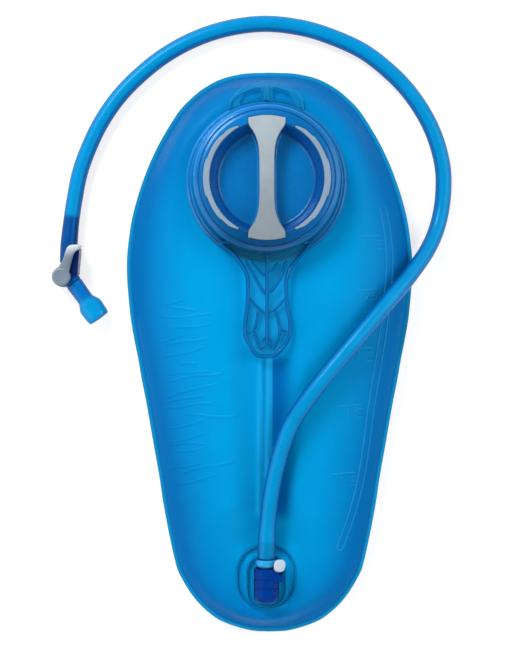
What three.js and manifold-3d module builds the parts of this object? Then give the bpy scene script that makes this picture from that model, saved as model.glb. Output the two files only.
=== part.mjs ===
// Hydration bladder: a flat three-litre water reservoir with a quarter-turn lid,
// a carrying handle, a quick-release outlet and a drinking hose with a shut-off
// lever and a bite valve. It lies on its back: +Y towards the lid end, +Z up.
// All dimensions are in millimetres.
import * as THREE from "three";
import { mergeVertices } from "three/addons/utils/BufferGeometryUtils.js";
import Module from "manifold-3d";

const wasm = await Module();
wasm.setup();

// ---- driving dimensions -------------------------------------------------
const SEAM_Z = 13.0; // height of the edge weld above the ground
const FILM = 0.7; // film thickness
const RIM = 3.0; // width of the flat edge weld
const GAP = 0.3; // clearance between touching pieces
const CROWN = 29.5; // how far the front film stands above the weld
const BELLY = 14.2; // how far the back film would bulge if the ground let it
const NECK = [-2.5, 125.3]; // centre of the fill port
const PAD_Z = 38.0; // top of the front film under the fill port
const OUTLET = [-2.6, -166]; // centre of the outlet port
const OUTLET_Z = 28.0; // top of the front film under the outlet port
const BAFFLE_X = -4.0; // the internal baffle stands just left of the middle
const BAFFLE_Y = [-122, -3];
const BAFFLE_DIP = 5.0; // how far the baffle pulls the front film down

const OPENING_R = 43; // fill opening, 86 mm across
const NECK_R = 48.2;
const FLANGE_R = 59;
const LID_R = 53;
const LID_TOP = 62;
const HOSE_R = 6.2;
const HOSE_BORE = 4.0;
const PLUG_Z = 39.0; // height of the outlet's axis
const VALVE = [-155.7, 56.4]; // axis of the shut-off valve
const VALVE_Z = 8.9; // height of the water way through the valve

// Half width of the bag at each height along Y, from the lid end to the foot.
const OUTLINE = [
  [0, 210], [20, 209], [37.3, 204.7], [50.8, 197.2], [59.8, 189.7],
  [67, 182.2], [72.3, 174.6], [81.3, 159.6], [88.8, 144.5], [94.8, 129.5],
  [99.7, 114.4], [103.5, 99.4], [105.8, 84.3], [107.2, 69.2], [107, 54.2],
  [105.8, 39.1], [104.2, 24.1], [101.6, 9], [98.6, -6], [96, -21.1],
  [93, -36.1], [90.3, -51.2], [87.7, -66.2], [85, -81.3], [82.4, -96.3],
  [80.2, -111.4], [77.5, -126.5], [74.5, -141.5], [71.1, -156.6],
  [68.9, -164.1], [65.1, -171.6], [60.6, -179.1], [54.9, -186.7],
  [47.4, -194.2], [36.9, -201.7], [14.5, -209], [0, -210],
];

// ---- helpers --------------------------------------------------------------
const smooth = (a, b, x) => {
  const t = Math.min(1, Math.max(0, (x - a) / (b - a)));
  return t * t * (3 - 2 * t);
};
const lerp = (a, b, t) => a + (b - a) * t;

function solid(geometry) {
  const bare = new THREE.BufferGeometry();
  const source = geometry.index ? geometry.toNonIndexed() : geometry;
  bare.setAttribute("position", source.getAttribute("position").clone());
  const merged = mergeVertices(bare, 1e-3);
  const index = Array.from(merged.index.array);
  const kept = [];
  for (let i = 0; i < index.length; i += 3) {
    const [a, b, c] = [index[i], index[i + 1], index[i + 2]];
    if (a !== b && b !== c && c !== a) kept.push(a, b, c);
  }
  const make = (tris) =>
    new wasm.Manifold(
      new wasm.Mesh({
        numProp: 3,
        vertProperties: new Float32Array(merged.attributes.position.array),
        triVerts: new Uint32Array(tris),
      }),
    );
  let made = make(kept);
  if (made.volume() < 0) {
    const turned = [];
    for (let i = 0; i < kept.length; i += 3) turned.push(kept[i], kept[i + 2], kept[i + 1]);
    made = make(turned);
  }
  return made;
}

const union = (...s) => s.reduce((a, b) => a.add(b));
const minus = (a, ...s) => s.reduce((m, b) => m.subtract(b), a);

function geometryOf(manifold) {
  const mesh = manifold.getMesh();
  const g = new THREE.BufferGeometry();
  g.setAttribute("position", new THREE.BufferAttribute(new Float32Array(mesh.vertProperties), 3));
  g.setIndex(new THREE.BufferAttribute(new Uint32Array(mesh.triVerts), 1));
  const flat = g.toNonIndexed();
  flat.computeVertexNormals();
  return flat;
}

const root = new THREE.Group();
root.name = "hydration_bladder";
function add(name, shape, color, roughness = 0.5, metalness = 0, opacity = 1) {
  const geometry = shape.isBufferGeometry ? shape : geometryOf(shape);
  const material = new THREE.MeshStandardMaterial({ color, roughness, metalness });
  if (opacity < 1) {
    material.transparent = true;
    material.opacity = opacity;
  }
  const mesh = new THREE.Mesh(geometry, material);
  mesh.name = name;
  root.add(mesh);
  return mesh;
}

// A profile of [radius, height] pairs turned about the vertical through (cx, cy).
function turned(profile, segments, cx = 0, cy = 0) {
  const pts = profile.map(([r, z]) => new THREE.Vector2(r, z));
  const g = new THREE.LatheGeometry(pts, segments);
  g.rotateX(Math.PI / 2);
  g.translate(cx, cy, 0);
  return solid(g);
}

// A profile of [radius, distance] pairs turned about a line through `at` along `dir`.
function turnedAlong(profile, segments, at, dir) {
  const pts = profile.map(([r, s]) => new THREE.Vector2(r, s));
  const g = new THREE.LatheGeometry(pts, segments);
  const q = new THREE.Quaternion().setFromUnitVectors(
    new THREE.Vector3(0, 1, 0),
    new THREE.Vector3(...dir).normalize(),
  );
  g.applyQuaternion(q);
  g.translate(...at);
  return solid(g);
}

// A straight round bar.
function rod(r, from, to, segments = 24) {
  const a = new THREE.Vector3(...from);
  const b = new THREE.Vector3(...to);
  return turnedAlong([[0, 0], [r, 0], [r, a.distanceTo(b)], [0, a.distanceTo(b)]], segments, from, b.clone().sub(a).toArray());
}

function box(x0, x1, y0, y1, z0, z1) {
  const g = new THREE.BoxGeometry(x1 - x0, y1 - y0, z1 - z0);
  g.translate((x0 + x1) / 2, (y0 + y1) / 2, (z0 + z1) / 2);
  return solid(g);
}

// A flat outline in XY raised from z0 to z1.
function plate(points, z0, z1, holes = []) {
  const shape = new THREE.Shape(points.map(([x, y]) => new THREE.Vector2(x, y)));
  for (const hole of holes) shape.holes.push(new THREE.Path(hole.map(([x, y]) => new THREE.Vector2(x, y))));
  const g = new THREE.ExtrudeGeometry(shape, { depth: z1 - z0, bevelEnabled: false, steps: 1 });
  g.translate(0, 0, z0);
  return solid(g);
}

function circle(r, n, cx = 0, cy = 0, sx = 1) {
  return Array.from({ length: n }, (_, i) => {
    const a = (2 * Math.PI * i) / n;
    return [cx + sx * r * Math.cos(a), cy + r * Math.sin(a)];
  });
}

// A round wire swept along a curve.
function sweep(curve, radius, sides, steps, bore = 0) {
  const ring = (r, reverse) => {
    const p = circle(r, sides).map(([x, y]) => new THREE.Vector2(x, y));
    return reverse ? p.reverse() : p;
  };
  const shape = new THREE.Shape(ring(radius));
  if (bore) shape.holes.push(new THREE.Path(ring(bore, true)));
  return new THREE.ExtrudeGeometry(shape, { steps, bevelEnabled: false, extrudePath: curve });
}

// A coil spring from `from` along `dir`.
class Coil extends THREE.Curve {
  constructor(from, dir, length, radius, turns) {
    super();
    this.from = new THREE.Vector3(...from);
    this.dir = new THREE.Vector3(...dir).normalize();
    this.u = new THREE.Vector3(0, 0, 1).cross(this.dir).normalize();
    this.v = this.dir.clone().cross(this.u);
    Object.assign(this, { length: length, radius, turns });
  }
  getPoint(t, out = new THREE.Vector3()) {
    const a = 2 * Math.PI * this.turns * t;
    return out
      .copy(this.from)
      .addScaledVector(this.dir, this.length * t)
      .addScaledVector(this.u, this.radius * Math.cos(a))
      .addScaledVector(this.v, this.radius * Math.sin(a));
  }
}

function oring(r, wire, at, dir, around = 28, across = 8) {
  const profile = [];
  for (let i = 0; i <= across; i++) {
    const a = (2 * Math.PI * i) / across;
    profile.push([r + wire * Math.cos(a), wire * Math.sin(a)]);
  }
  return turnedAlong(profile, around, at, dir);
}

// Rings of equal length joined into one closed body.
function loft(rings) {
  const n = rings[0].length;
  const tris = [];
  const tri = (a, b, c) => tris.push(...a, ...b, ...c);
  for (let i = 0; i + 1 < rings.length; i++)
    for (let j = 0; j < n; j++) {
      const k = (j + 1) % n;
      tri(rings[i][j], rings[i][k], rings[i + 1][k]);
      tri(rings[i][j], rings[i + 1][k], rings[i + 1][j]);
    }
  for (const [ring, flip] of [[rings[0], true], [rings[rings.length - 1], false]]) {
    const c = [0, 1, 2].map((k) => ring.reduce((s, p) => s + p[k], 0) / n);
    for (let j = 0; j < n; j++) {
      const k = (j + 1) % n;
      flip ? tri(c, ring[k], ring[j]) : tri(c, ring[j], ring[k]);
    }
  }
  const g = new THREE.BufferGeometry();
  g.setAttribute("position", new THREE.BufferAttribute(new Float32Array(tris), 3));
  return solid(g);
}

// ---- the bag's shape --------------------------------------------------------
const ROWS = 27;
const edge = new THREE.CatmullRomCurve3(
  OUTLINE.map(([x, y]) => new THREE.Vector3(x, y, 0)), false, "centripetal",
);
const outer = edge.getSpacedPoints(ROWS - 1).map((p) => [p.x, p.y]);
outer[0][0] = 0;
outer[ROWS - 1][0] = 0;
const inner = outer.map(([x, y], i) => {
  if (i === 0) return [0, y - RIM];
  if (i === ROWS - 1) return [0, y + RIM];
  const [ax, ay] = outer[i - 1];
  const [bx, by] = outer[i + 1];
  const l = Math.hypot(bx - ax, by - ay);
  return [x + ((by - ay) / l) * RIM, y - ((bx - ax) / l) * RIM];
});
const TOP_Y = inner[0][1];
const FOOT_Y = inner[ROWS - 1][1];

function halfWidth(y) {
  for (let i = 0; i + 1 < ROWS; i++) {
    const [a, b] = [inner[i], inner[i + 1]];
    if (y <= a[1] && y >= b[1]) return lerp(a[0], b[0], (a[1] - y) / Math.max(1e-9, a[1] - b[1]));
  }
  return 0;
}
const xAt = (u, w) => u * w + (BAFFLE_X * (1 - u * u) * w) / 107;

function frontZ(u, y, x) {
  const ends = Math.min(TOP_Y - y, y - FOOT_Y);
  const along = Math.pow(1 - Math.pow(1 - Math.min(1, Math.max(0, ends) / 62), 2), 0.72);
  const taper = 1 - 0.34 * smooth(10, -150, y);
  const across = Math.pow(Math.max(0, 1 - Math.pow(Math.abs(u), 2.4)), 0.72);
  let z = SEAM_Z + GAP / 2 + FILM + CROWN * along * taper * across;
  // the baffle holds the film down along the middle
  const held = smooth(14, -8, y) * smooth(-138, -112, y);
  z -= BAFFLE_DIP * held * (1 - smooth(0.1, 0.32, Math.abs(u)));
  // flat pads under the two ports, easing out into the crown
  const free = smooth(0.82, 1, Math.abs(u));
  const end = 1 - smooth(0, 12, ends);
  for (const [px, py, pz, r0, side, head, foot] of [
    [NECK[0], NECK[1], PAD_Z, 60, 90, 82, 104],
    [OUTLET[0], OUTLET[1], OUTLET_Z, 31, 58, 62, 41],
  ]) {
    const r = Math.hypot(x - px, y - py);
    const lean = (y - py) / Math.max(r, 1e-6);
    const r1 = side + (head - side) * smooth(0, 0.9, lean) + (foot - side) * smooth(0, 0.9, -lean);
    let t = smooth(r0, r1, r);
    if (r >= r0) t = 1 - (1 - t) * (1 - free) * (1 - end);
    z = lerp(pz, z, t);
  }
  return z;
}
function backZ(u, y) {
  const ends = Math.min(TOP_Y - y, y - FOOT_Y);
  const along = Math.pow(1 - Math.pow(1 - Math.min(1, Math.max(0, ends) / 40), 2), 0.7);
  const across = Math.pow(Math.max(0, 1 - Math.pow(Math.abs(u), 4)), 0.7);
  return Math.max(0, SEAM_Z - GAP / 2 - FILM - BELLY * along * across);
}

// One film: a grid of rows between the bag's two edges, a flat weld rim outside it,
// and the same surface again one film thickness away.
function film(us, zAt, side) {
  const verts = [];
  const v = (p) => verts.push(p) - 1;
  const grid = inner.map(([w, y], i) => {
    if (i === 0 || i === ROWS - 1) {
      const k = v([0, y, zAt(1, y, 999)]);
      return us.map(() => k);
    }
    return us.map((u) => {
      const x = xAt(u, w);
      return v([x, y, zAt(u, y, x)]);
    });
  });
  const last = us.length - 1;
  const loopIn = [];
  const loopOut = [];
  for (let i = 0; i < ROWS; i++) {
    loopIn.push(grid[i][last]);
    loopOut.push(v([outer[i][0], outer[i][1], zAt(1, inner[i][1], 999)]));
  }
  for (let i = ROWS - 2; i > 0; i--) {
    loopIn.push(grid[i][0]);
    loopOut.push(v([-outer[i][0], outer[i][1], zAt(1, inner[i][1], 999)]));
  }
  const tris = [];
  const tri = (a, b, c) => {
    if (a !== b && b !== c && c !== a) tris.push([a, b, c]);
  };
  for (let i = 0; i + 1 < ROWS; i++)
    for (let j = 0; j < last; j++) {
      const [a, b, c, d] = [grid[i][j], grid[i][j + 1], grid[i + 1][j + 1], grid[i + 1][j]];
      if (j < last / 2) {
        tri(a, d, c);
        tri(a, c, b);
      } else {
        tri(a, d, b);
        tri(d, c, b);
      }
    }
  const n = loopIn.length;
  for (let i = 0; i < n; i++) {
    const k = (i + 1) % n;
    tri(loopIn[i], loopIn[k], loopOut[k]);
    tri(loopIn[i], loopOut[k], loopOut[i]);
  }
  // the second skin is set off along the vertex normals
  const P = verts.map((p) => new THREE.Vector3(...p));
  const normals = P.map(() => new THREE.Vector3());
  for (const t of tris) {
    const f = P[t[1]].clone().sub(P[t[0]]).cross(P[t[2]].clone().sub(P[t[0]]));
    for (const k of t) normals[k].add(f);
  }
  for (const k of [...loopIn, ...loopOut]) normals[k].set(0, 0, 1);
  const Q = P.map((p, i) => p.clone().addScaledVector(normals[i].normalize(), -side * FILM));
  const out = [];
  const put = (...ps) => ps.forEach((p) => out.push(p.x, p.y, p.z));
  for (const [a, b, c] of tris) {
    put(P[a], P[b], P[c]);
    put(Q[a], Q[c], Q[b]);
  }
  for (let i = 0; i < n; i++) {
    const k = (i + 1) % n;
    const [a, b] = [loopOut[i], loopOut[k]];
    put(P[a], P[b], Q[b]);
    put(P[a], Q[b], Q[a]);
  }
  const g = new THREE.BufferGeometry();
  g.setAttribute("position", new THREE.BufferAttribute(new Float32Array(out), 3));
  return { shape: solid(g), grid: grid, P, Q };
}

const FRONT_U = [0, 0.055, 0.11, 0.2, 0.33, 0.52, 0.7, 0.86, 1];
const BACK_U = [0, 0.55, 0.78, 0.92, 1];
const both = (us) => [...us.slice(1).map((u) => -u).reverse(), ...us];

const front = film(both(FRONT_U), frontZ, 1);
const back = film(both(BACK_U), backZ, -1);
const [NX, NY] = NECK;
const [OX, OY] = OUTLET;

add("back_film", back.shape, 0x1d7fd0, 0.35, 0, 0.85);
add(
  "front_film",
  minus(
    front.shape,
    turned([[0, 20], [OPENING_R + 1.5, 20], [OPENING_R + 1.5, 60], [0, 60]], 40, NX, NY),
    turned([[0, 15], [6.5, 15], [6.5, 40], [0, 40]], 24, OX, -175.5),
  ),
  0x1893dc, 0.35, 0, 0.8,
);

// The baffle: an I-shaped strip between the two films, which keeps the bag flat.
{
  const mid = (FRONT_U.length - 1);
  const midBack = (BACK_U.length - 1);
  const ys = [];
  for (let i = 1; i + 1 < ROWS; i++) if (inner[i][1] < BAFFLE_Y[1] && inner[i][1] > BAFFLE_Y[0]) ys.push(inner[i][1]);
  ys.unshift(BAFFLE_Y[1]);
  ys.push(BAFFLE_Y[0]);
  const heightIn = (part, column, y) => {
    for (let i = 1; i + 2 < ROWS; i++) {
      const a = part.Q[part.grid[i][column]];
      const b = part.Q[part.grid[i + 1][column]];
      if (y <= a.y + 1e-6 && y >= b.y - 1e-6) return lerp(a.z, b.z, (a.y - y) / (a.y - b.y));
    }
    return 0;
  };
  const top = ys.map((y) => heightIn(front, mid, y) - 0.45);
  const low = ys.map((y) => heightIn(back, midBack, y) + 0.35);
  const strip = (zs0, zs1, halfWide) => {
    const pts = [...ys.map((y, i) => [y, zs0[i]]), ...ys.map((y, i) => [y, zs1[i]]).reverse()];
    const shape = new THREE.Shape(pts.map(([y, z]) => new THREE.Vector2(y, z)));
    const g = new THREE.ExtrudeGeometry(shape, { depth: 2 * halfWide, bevelEnabled: false });
    // the sketch's x is Y, its y is Z and it is raised along X
    const m = new THREE.Matrix4().set(0, 0, 1, BAFFLE_X * 0.9 - halfWide, 1, 0, 0, 0, 0, 1, 0, 0, 0, 0, 0, 1);
    g.applyMatrix4(m);
    return solid(g);
  };
  add(
    "centre_baffle",
    union(
      strip(low, top, 0.4),
      strip(top.map((z) => z - 0.7), top, 5.2),
      strip(low, low.map((z) => z + 0.7), 5.2),
    ),
    0x3fa7e6, 0.4, 0, 0.8,
  );
}

// ---- fill port: flange, threaded neck, handle and hanging tab -------------
{
  const z0 = PAD_Z + GAP;
  const z1 = z0 + 3.0;
  const top = 56.6;
  let port = union(
    turned([[OPENING_R, z0], [FLANGE_R, z0], [FLANGE_R, z0 + 1.6], [FLANGE_R - 3, z1], [OPENING_R, z1], [OPENING_R, z0]], 40, NX, NY),
    turned([[OPENING_R, z0], [NECK_R, z0], [NECK_R, top - 0.8], [NECK_R - 0.8, top], [OPENING_R, top], [OPENING_R, z0]], 40, NX, NY),
  );
  // three quarter-turn thread ridges
  for (let k = 0; k < 3; k++) {
    const rings = [];
    for (let i = 0; i <= 7; i++) {
      const a = ((k * 120 + 10 + (i * 85) / 7) * Math.PI) / 180;
      const z = 45.4 + (i / 7) * 5.5;
      const at = (r, dz) => [NX + r * Math.cos(a), NY + r * Math.sin(a), z + dz];
      rings.push([at(NECK_R - 1.2, -1.4), at(NECK_R + 0.9, -0.5), at(NECK_R + 0.9, 0.5), at(NECK_R - 1.2, 1.4)]);
    }
    port = port.add(loft(rings));
  }
  // handle: a ribbed tongue over the bag, from the flange towards the foot
  const cx = NX + 0.3;
  const half = [
    [20.5, 70.2], [19.4, 64.5], [15.9, 55.5], [14.9, 45], [15.4, 34.5], [17.2, 24],
    [17.9, 13], [15.6, 5], [11, -1.2], [5.5, -4.3],
  ];
  const outline = [...half.map(([x, y]) => [cx + x, y]), ...half.map(([x, y]) => [cx - x, y]).reverse()];
  const zOf = (y) => lerp(40.6, 44.4, smooth(70, 40, y)); // underside of the tongue
  const bend = (m) => {
    const mesh = m.getMesh();
    const g = new THREE.BufferGeometry();
    g.setAttribute("position", new THREE.BufferAttribute(new Float32Array(mesh.vertProperties), 3));
    g.setIndex(new THREE.BufferAttribute(new Uint32Array(mesh.triVerts), 1));
    const p = g.attributes.position;
    for (let i = 0; i < p.count; i++) p.setZ(i, p.getZ(i) + zOf(p.getY(i)));
    return solid(g);
  };
  const rib = (x0, y0, x1, y1, w = 1.6, h = 3.7) => {
    const dx = x1 - x0, dy = y1 - y0, l = Math.hypot(dx, dy);
    const [nx, ny] = [(-dy / l) * (w / 2), (dx / l) * (w / 2)];
    return plate([[x0 - nx, y0 - ny], [x1 - nx, y1 - ny], [x1 + nx, y1 + ny], [x0 + nx, y0 + ny]], 2.0, h);
  };
  let tongue = plate(outline, 0, 2.6);
  const ribs = [rib(cx, 68, cx, 12, 2.2, 3.6)];
  for (const [yc, x, y] of [[56, 13.4, 62.6], [43, 12.9, 52], [28.5, 14.2, 38.5]])
    for (const s of [-1, 1]) ribs.push(rib(cx, yc, cx + s * x, y));
  for (const s of [-1, 1]) {
    ribs.push(rib(cx + s * 6.2, 27, cx + s * 9.8, 14));
    ribs.push(rib(cx + s * 9.8, 14, cx + s * 1.2, 1.5));
  }
  tongue = union(tongue, ...ribs);
  // the tongue is cut into rows so that it can follow its bend
  const cuts = [62, 56, 50, 45];
  let pieces = [];
  let rest = tongue;
  for (const c of cuts) {
    const slab = box(-80, 80, c, 200, -5, 10);
    pieces.push(rest.intersect(slab));
    rest = rest.subtract(slab);
  }
  pieces.push(rest);
  port = union(port, ...pieces.map(bend));
  port = minus(port, turned([[0, z1 + 0.6], [LID_R + 1.0, z1 + 0.6], [LID_R + 1.0, 70], [0, 70]], 40, NX, NY).subtract(
    turned([[0, z1 - 1], [NECK_R + 1.0, z1 - 1], [NECK_R + 1.0, 71], [0, 71]], 40, NX, NY)));
  // hanging tab with two slots at the far side of the flange
  const arc = (r, a0, a1, n, x = NX, y = NY) =>
    Array.from({ length: n + 1 }, (_, i) => {
      const a = ((a0 + ((a1 - a0) * i) / n) * Math.PI) / 180;
      return [x + r * Math.cos(a), y + r * Math.sin(a)];
    });
  const hang = [
    [NX + 27, NY + 50], [NX + 25.5, NY + 60.5], [NX + 19, NY + 67.5], [NX + 10, NY + 71.6], [NX, NY + 72.8],
    [NX - 10, NY + 71.6], [NX - 19, NY + 67.5], [NX - 25.5, NY + 60.5], [NX - 27, NY + 50],
  ];
  const slot = (s) => [
    ...arc(60.0, 90 - s * 3.4, 90 - s * 20.5, 5),
    [NX + s * 17.2, NY + 65.2], [NX + s * 9, NY + 68.4], [NX + s * 3.6, NY + 69.2],
  ];
  let tab = plate(hang, z0, z0 + 2.6);
  for (const s of [-1, 1]) tab = tab.subtract(plate(s > 0 ? slot(s).reverse() : slot(s), z0 - 1, z0 + 4));
  tab = tab.subtract(turned([[0, z0 - 2], [OPENING_R + 2, z0 - 2], [OPENING_R + 2, 60], [0, 60]], 40, NX, NY));
  port = port.add(tab).add(box(NX - 1.6, NX + 1.6, NY + 52, NY + 72.4, z0 + 1, z0 + 3.6));
  port = minus(port, turned([[LID_R - 4.0, z1 + 0.6], [LID_R + 1.0, z1 + 0.6], [LID_R + 1.0, 70], [LID_R - 4.0, 70], [LID_R - 4.0, z1 + 0.6]], 40, NX, NY));
  add("fill_port", port, 0x2f9be0, 0.25, 0, 0.75);
}

// ---- lid --------------------------------------------------------------------
// outline of the grip bar: wide ends and a narrow waist
const barHalf = [
  [13.4, 43.2], [13.2, 38.5], [11.9, 36], [9.9, 33.2], [7.6, 28.5], [6.1, 22.5], [5.5, 15], [5.4, 0],
  [5.5, -15], [6.1, -22.5], [7.6, -28.5], [9.9, -33.2], [11.9, -36], [13.2, -38.5], [13.4, -43.2],
];
const endArc = (s) => [8, 4, 0, -4, -8].map((x) => [x * s, s * Math.sqrt(45.0 * 45.0 - x * x)]);
const barOutline = (grow) => {
  const right = barHalf.map(([x, y]) => [x + grow, y + Math.sign(y) * (Math.abs(y) > 43 ? grow * 0.6 : 0)]);
  const foot = [8, 4, 0, -4, -8].map((x) => [x, -Math.sqrt((45.0 + grow) ** 2 - x * x) + 0.3]);
  const left = right.map(([x, y]) => [-x, -y]);
  const head = foot.map(([x, y]) => [-x, -y]);
  return [...right, ...foot, ...left, ...head].map(([x, y]) => [NX + x, NY + y]);
};
// grip arcs at the dish's edge, with a scalloped outer side
const gripArc = (s, grow) => {
  const pts = [];
  const n = 14;
  for (let i = 0; i <= n; i++) {
    const d = lerp(-61 - grow * 0.8, 61 + grow * 0.8, i / n);
    const r = 44.6 + grow + 1.2 * Math.pow(Math.abs(Math.cos((d / 61) * Math.PI * 1.5)), 0.8);
    pts.push([r, d]);
  }
  for (let i = n; i >= 0; i -= 2) pts.push([41.0 - grow, lerp(-61 - grow * 0.8, 61 + grow * 0.8, i / n)]);
  const xy = pts.map(([r, d]) => {
    const a = (d * Math.PI) / 180;
    return [NX + s * r * Math.cos(a), NY + r * Math.sin(a)];
  });
  return s > 0 ? xy : xy.reverse();
};
{
  const low = 42.8;
  let lid = turned(
    [
      [0, 46], [37.2, 46], [41.9, 56.2], [42.3, 58], [49.7, 58], [49.7, low], [LID_R - 0.8, low], [LID_R, low + 0.8],
      [LID_R, LID_TOP - 8], [LID_R - 0.6, LID_TOP - 5], [LID_R - 2.2, LID_TOP - 2.2], [LID_R - 4.4, LID_TOP - 0.6],
      [LID_R - 6.5, LID_TOP], [40.8, LID_TOP], [40.0, 60.6],
      [35.6, 48.9], [34.9, 48.5], [0, 48.5],
    ],
    40, NX, NY,
  );
  lid = lid.add(box(NX - 3.8, NX + 3.8, NY - 33.8, NY + 33.8, 48, 57.8));
  lid = minus(lid, plate(barOutline(0.35), 60.2, 70), plate(gripArc(1, 0.35), 60.2, 70), plate(gripArc(-1, 0.35), 60.2, 70));
  add("lid_body", lid, 0x0b5aa8, 0.4);
  const bar = union(
    plate(barOutline(0), 60.5, 62.6),
    plate([[NX - 3.6, NY - 33.6], [NX + 3.6, NY - 33.6], [NX + 3.6, NY + 33.6], [NX - 3.6, NY + 33.6]], 58.1, 60.8),
  );
  add("lid_grip_bar", bar, 0xa0a3aa, 0.55);
  add("lid_grip_arc_right", plate(gripArc(1, 0), 60.5, 62.6), 0xa0a3aa, 0.55);
  add("lid_grip_arc_left", plate(gripArc(-1, 0), 60.5, 62.6), 0xa0a3aa, 0.55);
  add("lid_seal", turned([[43.4, 56.9], [47.9, 56.9], [47.9, 57.7], [43.4, 57.7], [43.4, 56.9]], 40, NX, NY), 0x8fb4c8, 0.7);
}

// ---- outlet port and quick-release socket ---------------------------------
const AX = [0, 1, 0];
{
  const z0 = OUTLET_Z + GAP;
  const rounded = (hw, y0, y1, r) => {
    const pts = [];
    for (const [cx, cy, a0] of [[hw - r, y1 - r, 0], [-(hw - r), y1 - r, 90], [-(hw - r), y0 + r, 180], [hw - r, y0 + r, 270]])
      for (let i = 0; i <= 6; i++) {
        const a = ((a0 + i * 15) * Math.PI) / 180;
        pts.push([OX + cx + r * Math.cos(a), cy + r * Math.sin(a)]);
      }
    return pts;
  };
  const port = minus(
    union(
      plate(rounded(22.3, -190, -142, 20), z0, z0 + 1.1),
      plate(rounded(15, -188.5, -149.5, 12.5), z0 + 0.5, z0 + 2.2),
    ),
    turned([[0, 20], [3.6, 20], [3.6, 40], [0, 40]], 20, OX, -175.5),
  );
  add("outlet_port", port, 0x2f9be0, 0.25, 0, 0.75);

  const base = z0 + 2.2 + GAP; // underside of the socket
  const at = (y) => [OX, y, PLUG_Z];
  let socket = union(
    turnedAlong([[0, 0], [6.4, 0], [8.4, 1.1], [9.35, 3.2], [9.35, 10.1], [9.0, 10.6], [9.0, 11.4], [9.35, 11.9], [9.35, 22.4], [8.9, 24], [8.9, 24.9], [0, 24.9]], 24, at(-182.2), AX),
    box(OX - 7.4, OX + 7.4, -178.6, -159.2, base, PLUG_Z),
  );
  // housing for the latch beside the mouth
  socket = socket.add(box(OX, OX + 12.2, -166.6, -161.8, PLUG_Z - 8.2, PLUG_Z + 8.2));
  socket = socket.add(box(OX, OX + 8.6, -162, -157.3, PLUG_Z - 8.2, PLUG_Z + 8.2));
  socket = socket.subtract(box(OX - 20, OX + 20, -200, -140, 20, base));
  socket = minus(
    socket,
    rod(5.4, at(-171), at(-150), 20),
    rod(4.8, at(-179.3), at(-170), 18),
    rod(2.9, [OX, -175.5, base - 2], [OX, -175.5, PLUG_Z], 16),
    box(OX - 8.7, OX + 14, -161.4, -158.5, PLUG_Z - 6.9, PLUG_Z + 6.9),
    box(OX + 6.8, OX + 14, -165.9, -158.5, PLUG_Z - 3.3, PLUG_Z + 3.3),
  );
  add("outlet_socket", socket, 0x10348c, 0.35);

  // latch plate with its button; the plate's long hole lets the plug pass
  const slotHole = [];
  for (const [mid, a0] of [[1.85, -90], [0, 90]])
    for (let i = 0; i <= 10; i++) {
      const a = ((a0 + i * 18) * Math.PI) / 180;
      slotHole.push([mid + 5.35 * Math.cos(a), 5.35 * Math.sin(a)]);
    }
  const shape = new THREE.Shape([[-6.6, -3.5], [-4.6, -6.6], [12, -6.6], [12, 6.6], [-4.6, 6.6], [-6.6, 3.5]].map(([x, y]) => new THREE.Vector2(x, y)));
  shape.holes.push(new THREE.Path(slotHole.reverse().map(([x, y]) => new THREE.Vector2(x, y))));
  const latch = new THREE.ExtrudeGeometry(shape, { depth: 2.2, bevelEnabled: false });
  latch.rotateX(Math.PI / 2);
  latch.translate(OX, -158.85, PLUG_Z);
  const button = union(
    solid(latch),
    box(OX + 11.3, OX + 13.8, -161.05, -151.2, PLUG_Z - 5.4, PLUG_Z + 10.2),
    box(OX + 5.2, OX + 13.8, -157.0, -151.2, PLUG_Z + 8.4, PLUG_Z + 10.2),
    box(OX + 11.3, OX + 12.8, -165.5, -161.0, PLUG_Z - 2.9, PLUG_Z + 2.9),
  );
  add("release_button", button, 0xc8d7e6, 0.4);
  add("button_spring", solid(sweep(new Coil([OX + 7.4, -163.6, PLUG_Z], [1, 0, 0], 3.3, 1.6, 2.5), 0.25, 5, 24)), 0xb8bcc0, 0.3, 1);

  // valve inside the socket: a poppet on a spring shuts the bag when the plug is out
  const poppet = turnedAlong(
    [[0, 0], [2.4, 0], [2.4, 0.8], [4.2, 0.8], [4.2, 1.5], [3.5, 1.5], [3.5, 2.6], [4.2, 2.6], [4.2, 3.2], [1.2, 3.6], [1.2, 5.6], [0, 5.6]],
    16, at(-174.6), AX,
  );
  add("socket_poppet", poppet, 0x2a4fa8, 0.4);
  add("poppet_seal", oring(3.98, 0.42, at(-172.55), AX, 16, 5), 0x22262a, 0.8);
  add("poppet_spring", solid(sweep(new Coil(at(-178.95), AX, 4.8, 3.1, 3), 0.3, 5, 30)), 0xb8bcc0, 0.3, 1);

  // hose plug: nose with a latch groove and a seal, a collar and a barb for the hose
  let plug = turnedAlong(
    [[0, 0], [3.4, 0], [4.4, 0.8], [4.9, 1.4], [4.9, 2.0], [3.85, 2.2], [3.85, 3.6], [4.9, 3.8], [4.9, 6.6],
      [2.95, 6.8], [2.95, 9.9], [4.9, 10.1], [4.9, 10.9], [8.0, 11.2], [8.0, 16.6], [7.4, 17.4], [3.1, 17.4], [3.1, 19.4],
      [3.6, 19.5], [3.2, 22.0], [3.6, 22.1], [3.2, 24.6], [3.6, 24.7], [3.0, 28.0], [0, 28.0]],
    20, at(-168.0), AX,
  );
  plug = minus(plug, rod(1.9, at(-169), at(-139), 16));
  add("hose_plug", plug, 0x46b4f0, 0.3);
  add("plug_seal", oring(4.5, 0.55, at(-165.1), AX, 18, 5), 0x22262a, 0.8);
}

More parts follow.
